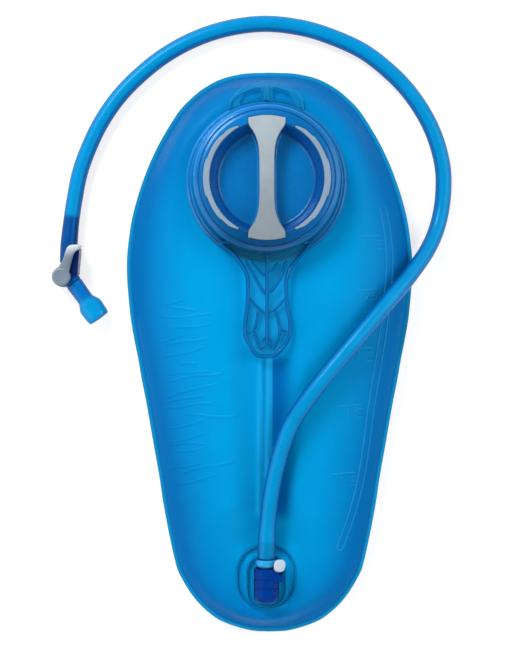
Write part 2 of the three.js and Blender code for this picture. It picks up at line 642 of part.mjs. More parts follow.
// ---- drinking hose ------------------------------------------------------------
const HOSE_PATH = [
  [-2.6, -150.3, 39.0], [-2.4, -139, 38.9], [-1.8, -127, 38.9], [-0.4, -113, 39.2], [1.8, -98, 40.2],
  [4.9, -83, 41.8], [9.4, -67, 44.2], [15.2, -52, 46.4], [24.6, -37, 48.2], [35.8, -22, 48.4],
  [49.0, -6, 47.3], [66.6, 14.5, 44.0], [85.8, 36.5, 38.0], [104.3, 57.8, 27.6], [118.2, 76.4, 16.2],
  [125.9, 92.0, 9.4], [130.0, 107.2, 6.9], [131.7, 122.5, 6.4], [131.4, 137.7, 6.4], [128.4, 152.8, 6.4],
  [123.1, 168.0, 6.4], [115.2, 183.1, 6.4], [104.0, 198.8, 6.4], [89.8, 213.2, 6.4], [71.5, 227.2, 6.4],
  [50.5, 237.2, 6.4], [26.9, 244.8, 6.4], [-2.6, 248.4, 6.4], [-31.4, 245.0, 6.4], [-56.5, 236.8, 6.4],
  [-79.0, 224.6, 6.4], [-98.5, 209.2, 6.4], [-114.5, 192.6, 6.4], [-127.5, 173.6, 6.4], [-136.8, 154.4, 6.4],
  [-143.4, 136.0, 6.4], [-147.6, 115.0, 6.5], [-150.2, 96.0, 7.4], [-151.5, 80.0, 8.5], [-151.9, 67.0, 8.9],
];
{
  const curve = new THREE.CatmullRomCurve3(HOSE_PATH.map((p) => new THREE.Vector3(...p)), false, "centripetal");
  add("hose", solid(sweep(curve, HOSE_R, 9, 42, HOSE_BORE)), 0x2ca0e6, 0.3, 0, 0.8);
}

// ---- shut-off valve and bite valve ----------------------------------------
{
  const [VX, VY] = VALVE;
  const mouth = [-128.5, 25.2, VALVE_Z];
  const start = [-148.8, 53.4, VALVE_Z];
  const dir = new THREE.Vector3(mouth[0] - start[0], mouth[1] - start[1], 0).normalize();
  const along = (s, dz = 0) => [start[0] + dir.x * s, start[1] + dir.y * s, VALVE_Z + dz];
  const hoseEnd = [-151.9, 66.6, VALVE_Z];
  const up = new THREE.Vector3(0.45, 18, -0.45).normalize().toArray(); // into the hose
  const barb = turnedAlong(
    [[0, -10], [5.4, -10], [5.4, -4], [6.0, -3.4], [6.0, -1.2], [5.4, -0.4], [3.0, -0.4], [3.0, 1.5], [3.4, 1.6], [3.0, 5.2],
      [3.4, 5.3], [3.0, 9.0], [3.4, 9.1], [2.9, 12.8], [3.2, 12.9], [2.7, 17], [0, 17]],
    18, hoseEnd, up,
  );
  // a guard beside the lever: a block on the barrel, a wall past the hose's end
  // and a thin tongue over it
  const guard = union(
    plate([[-152.0, 53.4], [-152.0, 66.0], [-143.6, 66.0], [-143.9, 58.6], [-146.6, 56.6], [-149.6, 53.6]], 3.2, 16.9),
    plate([[-145.0, 65.0], [-144.9, 78.4], [-143.4, 79.0], [-142.5, 78.2], [-143.0, 72.0], [-143.6, 65.0]], 3.2, 16.9),
    plate([[-149.6, 65.0], [-149.0, 71.0], [-147.2, 76.0], [-145.6, 78.2], [-143.4, 79.0], [-142.5, 78.2], [-143.0, 72.0], [-143.6, 65.0]], 15.5, 16.9),
  );
  let body = union(
    turned([[0, 0.5], [6.6, 0.5], [7.4, 1.4], [7.4, 16.4], [6.9, 17.0], [0, 17.0]], 24, VX, VY),
    barb,
    guard,
    turnedAlong([[0, -4], [6.3, -4], [6.3, 1.3], [5.9, 1.7], [3.6, 1.7], [3.6, 8], [4.0, 8.1], [3.5, 11.5], [3.6, 19.5], [3.1, 20], [0, 20]], 18, along(0), dir.toArray()),
  );
  body = minus(
    body,
    turned([[0, 3.2], [4.9, 3.2], [4.9, 20], [0, 20]], 20, VX, VY),
    rod(1.9, [hoseEnd[0] - up[0] * 5.5, hoseEnd[1] - up[1] * 5.5, VALVE_Z], [hoseEnd[0] + up[0] * 18, hoseEnd[1] + up[1] * 18, VALVE_Z + up[2] * 18], 14),
    rod(1.9, [VX + 0.2, VY, VALVE_Z], [hoseEnd[0] - up[0] * 5, hoseEnd[1] - up[1] * 5, VALVE_Z], 14),
    rod(1.9, along(-2.6), along(21), 14),
    rod(1.9, [VX, VY, VALVE_Z], along(-2), 14),
  );
  add("valve_body", body, 0x123c96, 0.35);

  // the spool turns with the lever; a bent water way crosses it
  let spool = turned(
    [[0, 3.5], [4.6, 3.5], [4.6, 4.1], [3.7, 4.2], [3.7, 5.6], [4.6, 5.7], [4.6, 12.4], [3.7, 12.5], [3.7, 13.9], [4.6, 14.0], [4.6, 17.1], [0, 17.1]],
    20, VX, VY,
  );
  spool = minus(
    spool,
    rod(1.8, [VX, VY, VALVE_Z], [VX + 5.6, VY + 7.9, VALVE_Z], 12),
    rod(1.8, [VX, VY, VALVE_Z], [VX + 9.4, VY - 1.2, VALVE_Z], 12),
  );
  add("valve_spool", spool, 0xd8dde2, 0.45);
  add("spool_seal_lower", oring(4.28, 0.5, [VX, VY, 4.9], [0, 0, 1], 16, 5), 0x22262a, 0.8);
  add("spool_seal_upper", oring(4.28, 0.5, [VX, VY, 13.2], [0, 0, 1], 16, 5), 0x22262a, 0.8);

  // lever: a round hub and a paddle that lies over the hose
  const paddle = [
    [-161.2, 60.6], [-157.4, 64.2], [-156.0, 65.9], [-153.9, 70.2], [-151.7, 76.4], [-149.9, 79.2], [-146.0, 80.2], [-141.6, 80.1],
    [-139.9, 79.1], [-140.5, 77.8], [-143.2, 76.2], [-145.7, 74.0], [-147.1, 70.2], [-148.4, 65.8], [-149.4, 61.3], [-150.6, 58.6],
  ];
  const lever = union(
    turned([[0, 17.4], [6.4, 17.4], [7.0, 18.0], [7.0, 20.8], [6.2, 21.6], [0, 21.9]], 24, VX, VY),
    plate(paddle, 18.0, 21.2),
    plate([[-151.0, 77.8], [-149.9, 79.2], [-146.0, 80.2], [-141.6, 80.1], [-139.9, 79.1], [-140.5, 77.8], [-143.2, 76.9]], 21.0, 22.6),
  );
  add("valve_lever", lever, 0x8294a0, 0.45);

  // bite valve: a soft sleeve with a flared, slightly flattened mouth
  const rings = [];
  for (const [s, a, b] of [[2.0, 6.0, 6.0], [2.6, 6.45, 6.45], [8, 6.4, 6.4], [14.5, 6.15, 6.15], [17.0, 6.2, 6.2], [19.5, 7.3, 6.7], [22, 8.7, 7.0], [24.5, 9.15, 7.1],
    [28, 9.05, 7.1], [32, 8.75, 7.1], [34, 8.4, 6.9], [34.7, 7.7, 6.2]]) {
    const ring = [];
    for (let i = 0; i < 20; i++) {
      const t = (2 * Math.PI * i) / 20;
      const [cx, cy] = along(s);
      ring.push([cx - dir.y * a * Math.cos(t), cy + dir.x * a * Math.cos(t), VALVE_Z + b * Math.sin(t)]);
    }
    rings.push(ring);
  }
  const slitAngle = Math.atan2(dir.y, dir.x);
  const slit = new THREE.BoxGeometry(20, 8.5, 0.7);
  slit.rotateZ(slitAngle);
  slit.translate(...along(30));
  const bite = minus(loft(rings), rod(4.3, along(-1), along(21), 24), solid(slit));
  add("bite_valve", bite, 0x0f96e1, 0.4);
}

export default root;
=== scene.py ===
"""Looks of the hydration bladder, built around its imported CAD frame."""
import bpy, bmesh, math
import numpy as np
from mathutils import Vector, Matrix, Quaternion
from mathutils.kdtree import KDTree


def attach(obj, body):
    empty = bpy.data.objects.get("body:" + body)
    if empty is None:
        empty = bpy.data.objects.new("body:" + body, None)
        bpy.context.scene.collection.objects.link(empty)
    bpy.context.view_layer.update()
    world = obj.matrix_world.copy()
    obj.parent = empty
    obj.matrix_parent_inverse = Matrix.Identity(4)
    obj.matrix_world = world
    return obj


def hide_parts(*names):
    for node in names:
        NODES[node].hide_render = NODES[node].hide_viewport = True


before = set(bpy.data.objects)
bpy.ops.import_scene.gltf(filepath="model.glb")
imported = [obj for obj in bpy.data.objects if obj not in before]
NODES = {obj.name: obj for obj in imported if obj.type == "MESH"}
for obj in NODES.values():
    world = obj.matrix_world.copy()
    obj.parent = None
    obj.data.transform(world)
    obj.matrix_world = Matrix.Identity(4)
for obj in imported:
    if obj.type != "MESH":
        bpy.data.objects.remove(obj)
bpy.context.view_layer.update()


MM = 0.001
scene = bpy.context.scene
scene.view_settings.view_transform = "Standard"

# ---- camera ------------------------------------------------------------------
cam_data = bpy.data.cameras.new("camera")
cam_data.lens = 68.63
cam = bpy.data.objects.new("camera", cam_data)
cam.location = (-0.0117, 0.0158, 0.962)
scene.collection.objects.link(cam)
scene.camera = cam

# ---- driving dimensions, the same as the CAD's, in millimetres --------------------
SEAM_Z, FILM, RIM, GAP, CROWN, BELLY = 13.0, 0.7, 3.0, 0.3, 29.5, 14.2
NX, NY = -2.5, 125.3
OX, OY = -2.6, -166.0
PAD_Z, OUTLET_Z = 38.0, 28.0
BAFFLE_X, BAFFLE_Y, BAFFLE_DIP = -4.0, (-122.0, -3.0), 5.0
OPENING_R, NECK_R, FLANGE_R, LID_R, LID_TOP = 43.0, 48.2, 59.0, 53.0, 62.0
HOSE_R, HOSE_BORE, PLUG_Z = 6.2, 4.0, 39.0
VX, VY, VALVE_Z = -155.7, 56.4, 8.9
OUTLINE = [
    (0, 210), (20, 209), (37.3, 204.7), (50.8, 197.2), (59.8, 189.7), (67, 182.2), (72.3, 174.6), (81.3, 159.6),
    (88.8, 144.5), (94.8, 129.5), (99.7, 114.4), (103.5, 99.4), (105.8, 84.3), (107.2, 69.2), (107, 54.2),
    (105.8, 39.1), (104.2, 24.1), (101.6, 9), (98.6, -6), (96, -21.1), (93, -36.1), (90.3, -51.2), (87.7, -66.2),
    (85, -81.3), (82.4, -96.3), (80.2, -111.4), (77.5, -126.5), (74.5, -141.5), (71.1, -156.6), (68.9, -164.1),
    (65.1, -171.6), (60.6, -179.1), (54.9, -186.7), (47.4, -194.2), (36.9, -201.7), (14.5, -209), (0, -210),
]
HOSE_PATH = [
    (-2.6, -150.3, 39.0), (-2.4, -139, 38.9), (-1.8, -127, 38.9), (-0.4, -113, 39.2), (1.8, -98, 40.2),
    (4.9, -83, 41.8), (9.4, -67, 44.2), (15.2, -52, 46.4), (24.6, -37, 48.2), (35.8, -22, 48.4),
    (49.0, -6, 47.3), (66.6, 14.5, 44.0), (85.8, 36.5, 38.0), (104.3, 57.8, 27.6), (118.2, 76.4, 16.2),
    (125.9, 92.0, 9.4), (130.0, 107.2, 6.9), (131.7, 122.5, 6.4), (131.4, 137.7, 6.4), (128.4, 152.8, 6.4),
    (123.1, 168.0, 6.4), (115.2, 183.1, 6.4), (104.0, 198.8, 6.4), (89.8, 213.2, 6.4), (71.5, 227.2, 6.4),
    (50.5, 237.2, 6.4), (26.9, 244.8, 6.4), (-2.6, 248.4, 6.4), (-31.4, 245.0, 6.4), (-56.5, 236.8, 6.4),
    (-79.0, 224.6, 6.4), (-98.5, 209.2, 6.4), (-114.5, 192.6, 6.4), (-127.5, 173.6, 6.4), (-136.8, 154.4, 6.4),
    (-143.4, 136.0, 6.4), (-147.6, 115.0, 6.5), (-150.2, 96.0, 7.4), (-151.5, 80.0, 8.5), (-151.9, 67.0, 8.9),
]


# ---- small maths ----------------------------------------------------------------
def smooth(a, b, x):
    t = np.clip((np.asarray(x, float) - a) / (b - a), 0, 1)
    return t * t * (3 - 2 * t)


def lerp(a, b, t):
    return a + (b - a) * t


def srgb(r, g, b):
    out = []
    for c in (r, g, b):
        c = c / 255
        out.append(c / 12.92 if c <= 0.04045 else ((c + 0.055) / 1.055) ** 2.4)
    return np.array(out)


def catmull(points, per):
    """Centripetal Catmull-Rom through the points, `per` samples a span."""
    P = np.array(points, float)
    P = np.vstack([2 * P[0] - P[1], P, 2 * P[-1] - P[-2]])
    out = []
    for i in range(1, len(P) - 2):
        p0, p1, p2, p3 = P[i - 1 : i + 3]
        t0 = 0.0
        t1 = t0 + max(1e-6, np.linalg.norm(p1 - p0)) ** 0.5
        t2 = t1 + max(1e-6, np.linalg.norm(p2 - p1)) ** 0.5
        t3 = t2 + max(1e-6, np.linalg.norm(p3 - p2)) ** 0.5
        for k in range(per):
            t = t1 + (t2 - t1) * k / per
            a1 = (t1 - t) / (t1 - t0) * p0 + (t - t0) / (t1 - t0) * p1
            a2 = (t2 - t) / (t2 - t1) * p1 + (t - t1) / (t2 - t1) * p2
            a3 = (t3 - t) / (t3 - t2) * p2 + (t - t2) / (t3 - t2) * p3
            b1 = (t2 - t) / (t2 - t0) * a1 + (t - t0) / (t2 - t0) * a2
            b2 = (t3 - t) / (t3 - t1) * a2 + (t - t1) / (t3 - t1) * a3
            out.append((t2 - t) / (t2 - t1) * b1 + (t - t1) / (t2 - t1) * b2)
    out.append(P[-2])
    return np.array(out)


def spaced(P, n):
    """n points at equal distances along a polyline."""
    seg = np.linalg.norm(np.diff(P, axis=0), axis=1)
    s = np.concatenate([[0], np.cumsum(seg)])
    t = np.linspace(0, s[-1], n)
    return np.stack([np.interp(t, s, P[:, k]) for k in range(P.shape[1])], 1)


def noise1(seed, n=512):
    """Smooth periodic noise of one variable, about -1 to 1."""
    rng = np.random.RandomState(seed)
    table = rng.uniform(-1, 1, n)

    def at(x):
        x = np.asarray(x, float)
        i = np.floor(x).astype(int)
        f = x - i
        f = f * f * (3 - 2 * f)
        return table[i % n] * (1 - f) + table[(i + 1) % n] * f

    return at


def noise2(seed, n=256):
    rng = np.random.RandomState(seed)
    table = rng.uniform(-1, 1, (n, n))

    def at(x, y):
        i, j = np.floor(x).astype(int), np.floor(y).astype(int)
        f, g = x - i, y - j
        f, g = f * f * (3 - 2 * f), g * g * (3 - 2 * g)
        a = table[i % n, j % n] * (1 - f) + table[(i + 1) % n, j % n] * f
        b = table[i % n, (j + 1) % n] * (1 - f) + table[(i + 1) % n, (j + 1) % n] * f
        return a * (1 - g) + b * g

    return at


def fillet(points, radius, n=4, closed=True):
    """Rounds the corners of a 2-D path. radius is one number, or one for each corner."""
    P = [np.array(p[:2], float) for p in points]
    R = radius if hasattr(radius, "__len__") else [radius] * len(P)
    out = []
    for i, p in enumerate(P):
        if not closed and i in (0, len(P) - 1):
            out.append(tuple(p))
            continue
        a, b = P[i - 1], P[(i + 1) % len(P)]
        u, v = a - p, b - p
        lu, lv = np.linalg.norm(u), np.linalg.norm(v)
        if R[i] <= 0 or lu < 1e-6 or lv < 1e-6:
            out.append(tuple(p))
            continue
        u, v = u / lu, v / lv
        cos = float(np.clip(u @ v, -1, 1))
        ang = math.acos(cos)
        if ang > math.radians(172) or ang < math.radians(8):
            out.append(tuple(p))
            continue
        cut = min(R[i] / math.tan(ang / 2), 0.46 * lu, 0.46 * lv)
        s, e = p + u * cut, p + v * cut
        for k in range(n + 1):
            t = k / n
            out.append(tuple((1 - t) ** 2 * s + 2 * t * (1 - t) * (0.22 * p + 0.78 * p) + t * t * e))
    return out


# ---- mesh helpers ---------------------------------------------------------------
def made(name, verts, faces, angle=38, merge=1e-7, turn=True):
    me = bpy.data.meshes.new(name)
    me.from_pydata((np.asarray(verts, float) * MM).tolist(), [], faces)
    bm = bmesh.new()
    bm.from_mesh(me)
    if merge:
        bmesh.ops.remove_doubles(bm, verts=bm.verts, dist=merge)
    bmesh.ops.dissolve_degenerate(bm, edges=bm.edges, dist=1e-8)
    if turn:
        bmesh.ops.recalc_face_normals(bm, faces=bm.faces)
    bm.to_mesh(me)
    bm.free()
    me.shade_smooth()
    me.set_sharp_from_angle(angle=math.radians(angle))
    ob = bpy.data.objects.new(name, me)
    scene.collection.objects.link(ob)
    return ob


def basis(direction):
    d = Vector(direction).normalized()
    q = Vector((0, 0, 1)).rotation_difference(d)
    return np.array(q.to_matrix())


def lathe_data(profile, at=(0, 0, 0), direction=(0, 0, 1), seg=96, closed=True, squash_x=1.0):
    """Verts and faces of a profile of (radius, distance) turned about a line."""
    P = [(max(0.0, r), s) for r, s in profile]
    n = len(P)
    verts, faces = [], []
    B = basis(direction)
    for r, s in P:
        for k in range(seg):
            a = 2 * math.pi * k / seg
            verts.append(B @ np.array([squash_x * r * math.cos(a), r * math.sin(a), s]) + np.array(at))
    last = n if closed else n - 1
    for i in range(last):
        j = (i + 1) % n
        if P[i][0] < 1e-9 and P[j][0] < 1e-9:
            continue
        for k in range(seg):
            l = (k + 1) % seg
            f = [i * seg + k, i * seg + l, j * seg + l, j * seg + k]
            if P[i][0] < 1e-9:
                f = [i * seg + k, j * seg + l, j * seg + k]
            elif P[j][0] < 1e-9:
                f = [i * seg + k, i * seg + l, j * seg + k]
            faces.append(f)
    return verts, faces


def joined(*parts):
    verts, faces = [], []
    for v, f in parts:
        o = len(verts)
        verts += [tuple(x) for x in v]
        faces += [[o + i for i in face] for face in f]
    return verts, faces


def inset(outline, d):
    """The outline moved inwards by d (outwards if negative). The outline runs anticlockwise."""
    P = np.array(outline, float)
    a, b = np.roll(P, 1, 0), np.roll(P, -1, 0)
    e1, e2 = P - a, b - P
    e1 /= np.maximum(1e-9, np.linalg.norm(e1, axis=1))[:, None]
    e2 /= np.maximum(1e-9, np.linalg.norm(e2, axis=1))[:, None]
    n1, n2 = np.stack([-e1[:, 1], e1[:, 0]], 1), np.stack([-e2[:, 1], e2[:, 0]], 1)
    m = n1 + n2
    m /= np.maximum(0.35, (m * n1).sum(1))[:, None]
    return P + m * d


def anticlockwise(outline):
    P = np.array(outline, float)
    x, y = P[:, 0], P[:, 1]
    return P if (x * np.roll(y, -1) - np.roll(x, -1) * y).sum() > 0 else P[::-1]


def prism_data(outline, rings, lift=None):
    """A closed body over a 2-D outline. rings is a list of (inset, z); lift(x, y) adds to z."""
    O = anticlockwise(outline)
    n = len(O)
    verts, faces = [], []
    for d, z in rings:
        p = inset(O, d) if abs(d) > 1e-9 else O
        for x, y in p:
            verts.append((x, y, z + (lift(x, y) if lift else 0)))
    for i in range(len(rings) - 1):
        for k in range(n):
            l = (k + 1) % n
            faces.append([i * n + k, i * n + l, (i + 1) * n + l, (i + 1) * n + k])
    faces.append(list(range(n))[::-1])
    faces.append([(len(rings) - 1) * n + k for k in range(n)])
    return verts, faces


def edge_rings(z0, z1, low, high, n=4):
    """Rings of a prism with its lower and upper edges rounded."""
    out = []
    for k in range(n + 1):
        a = math.pi / 2 * k / n
        out.append((low * (1 - math.sin(a)), z0 + low * (1 - math.cos(a)))) if low else None
    if not low:
        out.append((0, z0))
    for k in range(n + 1):
        a = math.pi / 2 * k / n
        out.append((high * (1 - math.cos(a)), z1 - high * (1 - math.sin(a)))) if high else None
    if not high:
        out.append((0, z1))
    return out


def resample(outline, step, closed=True):
    P = np.array(outline, float)
    if closed:
        P = np.vstack([P, P[:1]])
    total = np.linalg.norm(np.diff(P, axis=0), axis=1).sum()
    Q = spaced(P, max(8, int(total / step)) + 1)
    return Q[:-1] if closed else Q


def rounded_closed(points, per=8):
    """A closed smooth curve through the points."""
    P = np.array(points, float)
    P = np.vstack([P[-2:], P, P[:3]])
    C = catmull(P, per)
    return C[2 * per : 2 * per + per * len(points)]


def tube_data(path, radius, sides=16, taper=None, flat_end=True):
    """A closed round bar along a path of points; radius may be a list."""
    P = np.array(path, float)
    n = len(P)
    R = np.full(n, radius, float) if not hasattr(radius, "__len__") else np.array(radius, float)
    T = np.gradient(P, axis=0)
    T /= np.linalg.norm(T, axis=1)[:, None]
    u = np.cross(T[0], (0, 0, 1.0))
    if np.linalg.norm(u) < 0.1:
        u = np.cross(T[0], (1.0, 0, 0))
    u /= np.linalg.norm(u)
    verts = []
    for i in range(n):
        u = u - (u @ T[i]) * T[i]
        u /= np.linalg.norm(u)
        v = np.cross(T[i], u)
        for k in range(sides):
            a = 2 * math.pi * k / sides
            verts.append(P[i] + R[i] * (math.cos(a) * u + math.sin(a) * v))
    faces = []
    for i in range(n - 1):
        for k in range(sides):
            l = (k + 1) % sides
            faces.append([i * sides + k, i * sides + l, (i + 1) * sides + l, (i + 1) * sides + k])
    faces.append(list(range(sides))[::-1])
    faces.append([(n - 1) * sides + k for k in range(sides)])
    return verts, faces


def loft_data(rings):
    n = len(rings[0])
    verts = [tuple(p) for r in rings for p in r]
    faces = []
    for i in range(len(rings) - 1):
        for k in range(n):
            l = (k + 1) % n
            faces.append([i * n + k, i * n + l, (i + 1) * n + l, (i + 1) * n + k])
    faces.append(list(range(n))[::-1])
    faces.append([(len(rings) - 1) * n + k for k in range(n)])
    return verts, faces


def cut(ob, *cutters):
    """Takes the cutters out of a mesh."""
    for c in cutters:
        m = ob.modifiers.new("cut", "BOOLEAN")
        m.operation = "DIFFERENCE"
        m.solver = "EXACT"
        m.object = c
    flat(ob)
    for c in cutters:
        bpy.data.objects.remove(c)
    return ob


def fuse(ob, *others):
    for c in others:
        m = ob.modifiers.new("join", "BOOLEAN")
        m.operation = "UNION"
        m.solver = "EXACT"
        m.object = c
    flat(ob)
    for c in others:
        bpy.data.objects.remove(c)
    return ob


def flat(ob, angle=38):
    """Applies the modifiers of a mesh."""
    dg = bpy.context.evaluated_depsgraph_get()
    dg.update()
    me = bpy.data.meshes.new_from_object(ob.evaluated_get(dg))
    ob.modifiers.clear()
    old = ob.data
    ob.data = me
    bpy.data.meshes.remove(old)
    me.shade_smooth()
    me.set_sharp_from_angle(angle=math.radians(angle))
    return ob


def paint(ob, name, rgb):
    """A colour for each vertex."""
    me = ob.data
    a = me.color_attributes.get(name) or me.color_attributes.new(name, "FLOAT_COLOR", "POINT")
    rgb = np.asarray(rgb, np.float32)
    a.data.foreach_set("color", np.hstack([rgb, np.ones((len(rgb), 1), np.float32)]).ravel())


def coords(ob):
    co = np.zeros(len(ob.data.vertices) * 3)
    ob.data.vertices.foreach_get("co", co)
    return co.reshape(-1, 3) / MM


def normals(ob):
    n = np.zeros(len(ob.data.vertices) * 3)
    ob.data.vertices.foreach_get("normal", n)
    return n.reshape(-1, 3)


# ---- materials --------------------------------------------------------------------
def material(name, color, rough=0.35, attr=None, vary=0.10, vary_scale=60.0, rough_vary=0.08, rough_scale=220.0,
             bump=0.15, bump_scale=900.0, bump_mm=0.05, bump2=None, coat=0.0, coat_rough=0.1, spec=0.5, sheen=0.0,
             metal=0.0, tint=None, ior=None, alpha=None, sub=0.0, sub_radius=(0.002, 0.004, 0.008), edge_alpha=None, dark=0.75, stretch=None):
    m = bpy.data.materials.new(name)
    m.use_nodes = True
    nt = m.node_tree
    nt.nodes.clear()
    N = nt.nodes.new
    L = nt.links.new
    out = N("ShaderNodeOutputMaterial")
    p = N("ShaderNodeBsdfPrincipled")
    L(p.outputs[0], out.inputs[0])
    tc = N("ShaderNodeTexCoord")
    src = tc.outputs["Object"]
    if stretch:
        mp = N("ShaderNodeMapping")
        mp.inputs["Scale"].default_value = stretch
        L(src, mp.inputs["Vector"])
        src = mp.outputs[0]
    n1 = N("ShaderNodeTexNoise")
    n1.inputs["Scale"].default_value = vary_scale
    n1.inputs["Detail"].default_value = 5.0
    n1.inputs["Roughness"].default_value = 0.55
    L(src, n1.inputs["Vector"])
    ramp = N("ShaderNodeMapRange")
    ramp.inputs["From Min"].default_value = 0.3
    ramp.inputs["From Max"].default_value = 0.7
    ramp.inputs["To Min"].default_value = 0.0
    ramp.inputs["To Max"].default_value = 1.0
    L(n1.outputs["Fac"], ramp.inputs["Value"])
    mix = N("ShaderNodeMix")
    mix.data_type = "RGBA"
    L(ramp.outputs[0], mix.inputs["Factor"])
    if attr:
        at = N("ShaderNodeVertexColor")
        at.layer_name = attr
        dk = N("ShaderNodeMix")
        dk.data_type = "RGBA"
        dk.blend_type = "MULTIPLY"
        dk.inputs["Factor"].default_value = 1.0
        L(at.outputs["Color"], dk.inputs["A"])
        dk.inputs["B"].default_value = (1 - vary, 1 - vary, 1 - vary, 1)
        lt = N("ShaderNodeMix")
        lt.data_type = "RGBA"
        lt.blend_type = "MULTIPLY"
        lt.inputs["Factor"].default_value = 1.0
        L(at.outputs["Color"], lt.inputs["A"])
        lt.inputs["B"].default_value = (1 + vary, 1 + vary, 1 + vary, 1)
        lt.clamp_result = False
        L(dk.outputs["Result"], mix.inputs["A"])
        L(lt.outputs["Result"], mix.inputs["B"])
    else:
        c = np.array(color[:3], float)
        mix.inputs["A"].default_value = (*np.clip(c * (1 - vary), 0, 1), 1)
        mix.inputs["B"].default_value = (*np.clip(c * (1 + vary), 0, 1), 1)
    L(mix.outputs["Result"], p.inputs["Base Color"])
    n2 = N("ShaderNodeTexNoise")
    n2.inputs["Scale"].default_value = rough_scale
    n2.inputs["Detail"].default_value = 3.0
    L(src, n2.inputs["Vector"])
    mr = N("ShaderNodeMapRange")
    mr.inputs["From Min"].default_value = 0.3
    mr.inputs["From Max"].default_value = 0.7
    mr.inputs["To Min"].default_value = max(0.02, rough - rough_vary)
    mr.inputs["To Max"].default_value = min(1.0, rough + rough_vary)
    L(n2.outputs["Fac"], mr.inputs["Value"])
    L(mr.outputs[0], p.inputs["Roughness"])
    n3 = N("ShaderNodeTexNoise")
    n3.inputs["Scale"].default_value = bump_scale
    n3.inputs["Detail"].default_value = 4.0
    L(src, n3.inputs["Vector"])
    b = N("ShaderNodeBump")
    b.inputs["Strength"].default_value = bump
    b.inputs["Distance"].default_value = bump_mm * MM
    L(n3.outputs["Fac"], b.inputs["Height"])
    if bump2:
        n4 = N("ShaderNodeTexNoise")
        n4.inputs["Scale"].default_value = bump2[0]
        n4.inputs["Detail"].default_value = 2.0
        n4.inputs["Distortion"].default_value = bump2[3] if len(bump2) > 3 else 0.0
        L(src, n4.inputs["Vector"])
        b2 = N("ShaderNodeBump")
        b2.inputs["Strength"].default_value = bump2[1]
        b2.inputs["Distance"].default_value = bump2[2] * MM
        L(n4.outputs["Fac"], b2.inputs["Height"])
        L(b2.outputs[0], b.inputs["Normal"])
    L(b.outputs[0], p.inputs["Normal"])
    p.inputs["Metallic"].default_value = metal
    p.inputs["Specular IOR Level"].default_value = spec
    if tint:
        p.inputs["Specular Tint"].default_value = (*tint, 1)
    if ior:
        p.inputs["IOR"].default_value = ior
    p.inputs["Coat Weight"].default_value = coat
    p.inputs["Coat Roughness"].default_value = coat_rough
    if sheen:
        p.inputs["Sheen Weight"].default_value = sheen
    if sub:
        p.inputs["Subsurface Weight"].default_value = sub
        p.inputs["Subsurface Radius"].default_value = sub_radius
        p.inputs["Subsurface Scale"].default_value = 1.0
    if alpha is not None:
        if edge_alpha is None:
            p.inputs["Alpha"].default_value = alpha
        else:
            at2 = N("ShaderNodeAttribute")
            at2.attribute_name = "steep"
            ma = N("ShaderNodeMapRange")
            ma.inputs["To Min"].default_value = alpha
            ma.inputs["To Max"].default_value = edge_alpha
            L(at2.outputs["Fac"], ma.inputs["Value"])
            L(ma.outputs[0], p.inputs["Alpha"])
    return m


def wear(ob, mat, body, slot_name, *nodes):
    ob.data.materials.clear()
    ob.data.materials.append(mat)
    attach(ob, body)
    if nodes:
        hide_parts(*nodes)
    return ob


LIT = 1.27  # how bright a white horizontal surface comes out under the lights below


def seen(r, g, b, k=1.0, spec=0.004):
    """A base colour that shows as this sRGB colour on a level surface."""
    c = srgb(r, g, b)
    return np.clip((c - spec) * k / LIT, 0.0004, 0.95)


# ---- the bag's shape ------------------------------------------------------------
edge = catmull(OUTLINE, 24)
ROWS = 520
outer = spaced(edge, ROWS)
outer[0, 0] = outer[-1, 0] = 0
tang = np.gradient(outer, axis=0)
tang /= np.linalg.norm(tang, axis=1)[:, None]
tang[0] = (1, 0)
tang[-1] = (-1, 0)
inner = outer + np.stack([tang[:, 1], -tang[:, 0]], 1) * RIM
inner[0] = (0, outer[0, 1] - RIM)
inner[-1] = (0, outer[-1, 1] + RIM)
TOP_Y, FOOT_Y = inner[0, 1], inner[-1, 1]


def x_at(u, w):
    return u * w + BAFFLE_X * (1 - u * u) * w / 107


def front_z(u, y, x):
    ends = np.minimum(TOP_Y - y, y - FOOT_Y)
    along = np.power(1 - np.power(1 - np.clip(ends / 62, 0, 1), 2), 0.72)
    taper = 1 - 0.34 * smooth(10, -150, y)
    across = np.power(np.maximum(0, 1 - np.power(np.abs(u), 2.4)), 0.72)
    z = SEAM_Z + GAP / 2 + FILM + CROWN * along * taper * across
    held = smooth(14, -8, y) * smooth(-138, -112, y)
    z = z - BAFFLE_DIP * held * (1 - smooth(0.1, 0.32, np.abs(u)))
    free = smooth(0.82, 1, np.abs(u))
    end = 1 - smooth(0, 12, ends)
    for px, py, pz, r0, side, head, foot in ((NX, NY, PAD_Z, 60, 90, 82, 104), (OX, OY, OUTLET_Z, 31, 58, 62, 41)):
        r = np.hypot(x - px, y - py)
        lean = (y - py) / np.maximum(r, 1e-6)
        r1 = side + (head - side) * smooth(0, 0.9, lean) + (foot - side) * smooth(0, 0.9, -lean)
        t = smooth(r0, r1, r)
        t = 1 - (1 - t) * (1 - np.where(r < r0, 0, free)) * (1 - np.where(r < r0, 0, end))
        z = lerp(pz, z, t)
    return z


def back_z(u, y):
    ends = np.minimum(TOP_Y - y, y - FOOT_Y)
    along = np.power(1 - np.power(1 - np.clip(ends / 40, 0, 1), 2), 0.7)
    across = np.power(np.maximum(0, 1 - np.power(np.abs(u), 4)), 0.7)
    return np.maximum(0.12, SEAM_Z - GAP / 2 - FILM - BELLY * along * across)


Y_OF = inner[:, 1][::-1]
W_OF = inner[:, 0][::-1]


def half_width(y):
    return np.interp(y, Y_OF, W_OF)


def film_top(x, y):
    """Height of the front film at any x, y inside the weld."""
    w = np.maximum(half_width(y), 1e-3)
    u = np.clip(x / w, -1, 1)
    for _ in range(6):
        u = np.clip((x - BAFFLE_X * (1 - u * u) * w / 107) / w, -1, 1)
    return front_z(u, y, x)


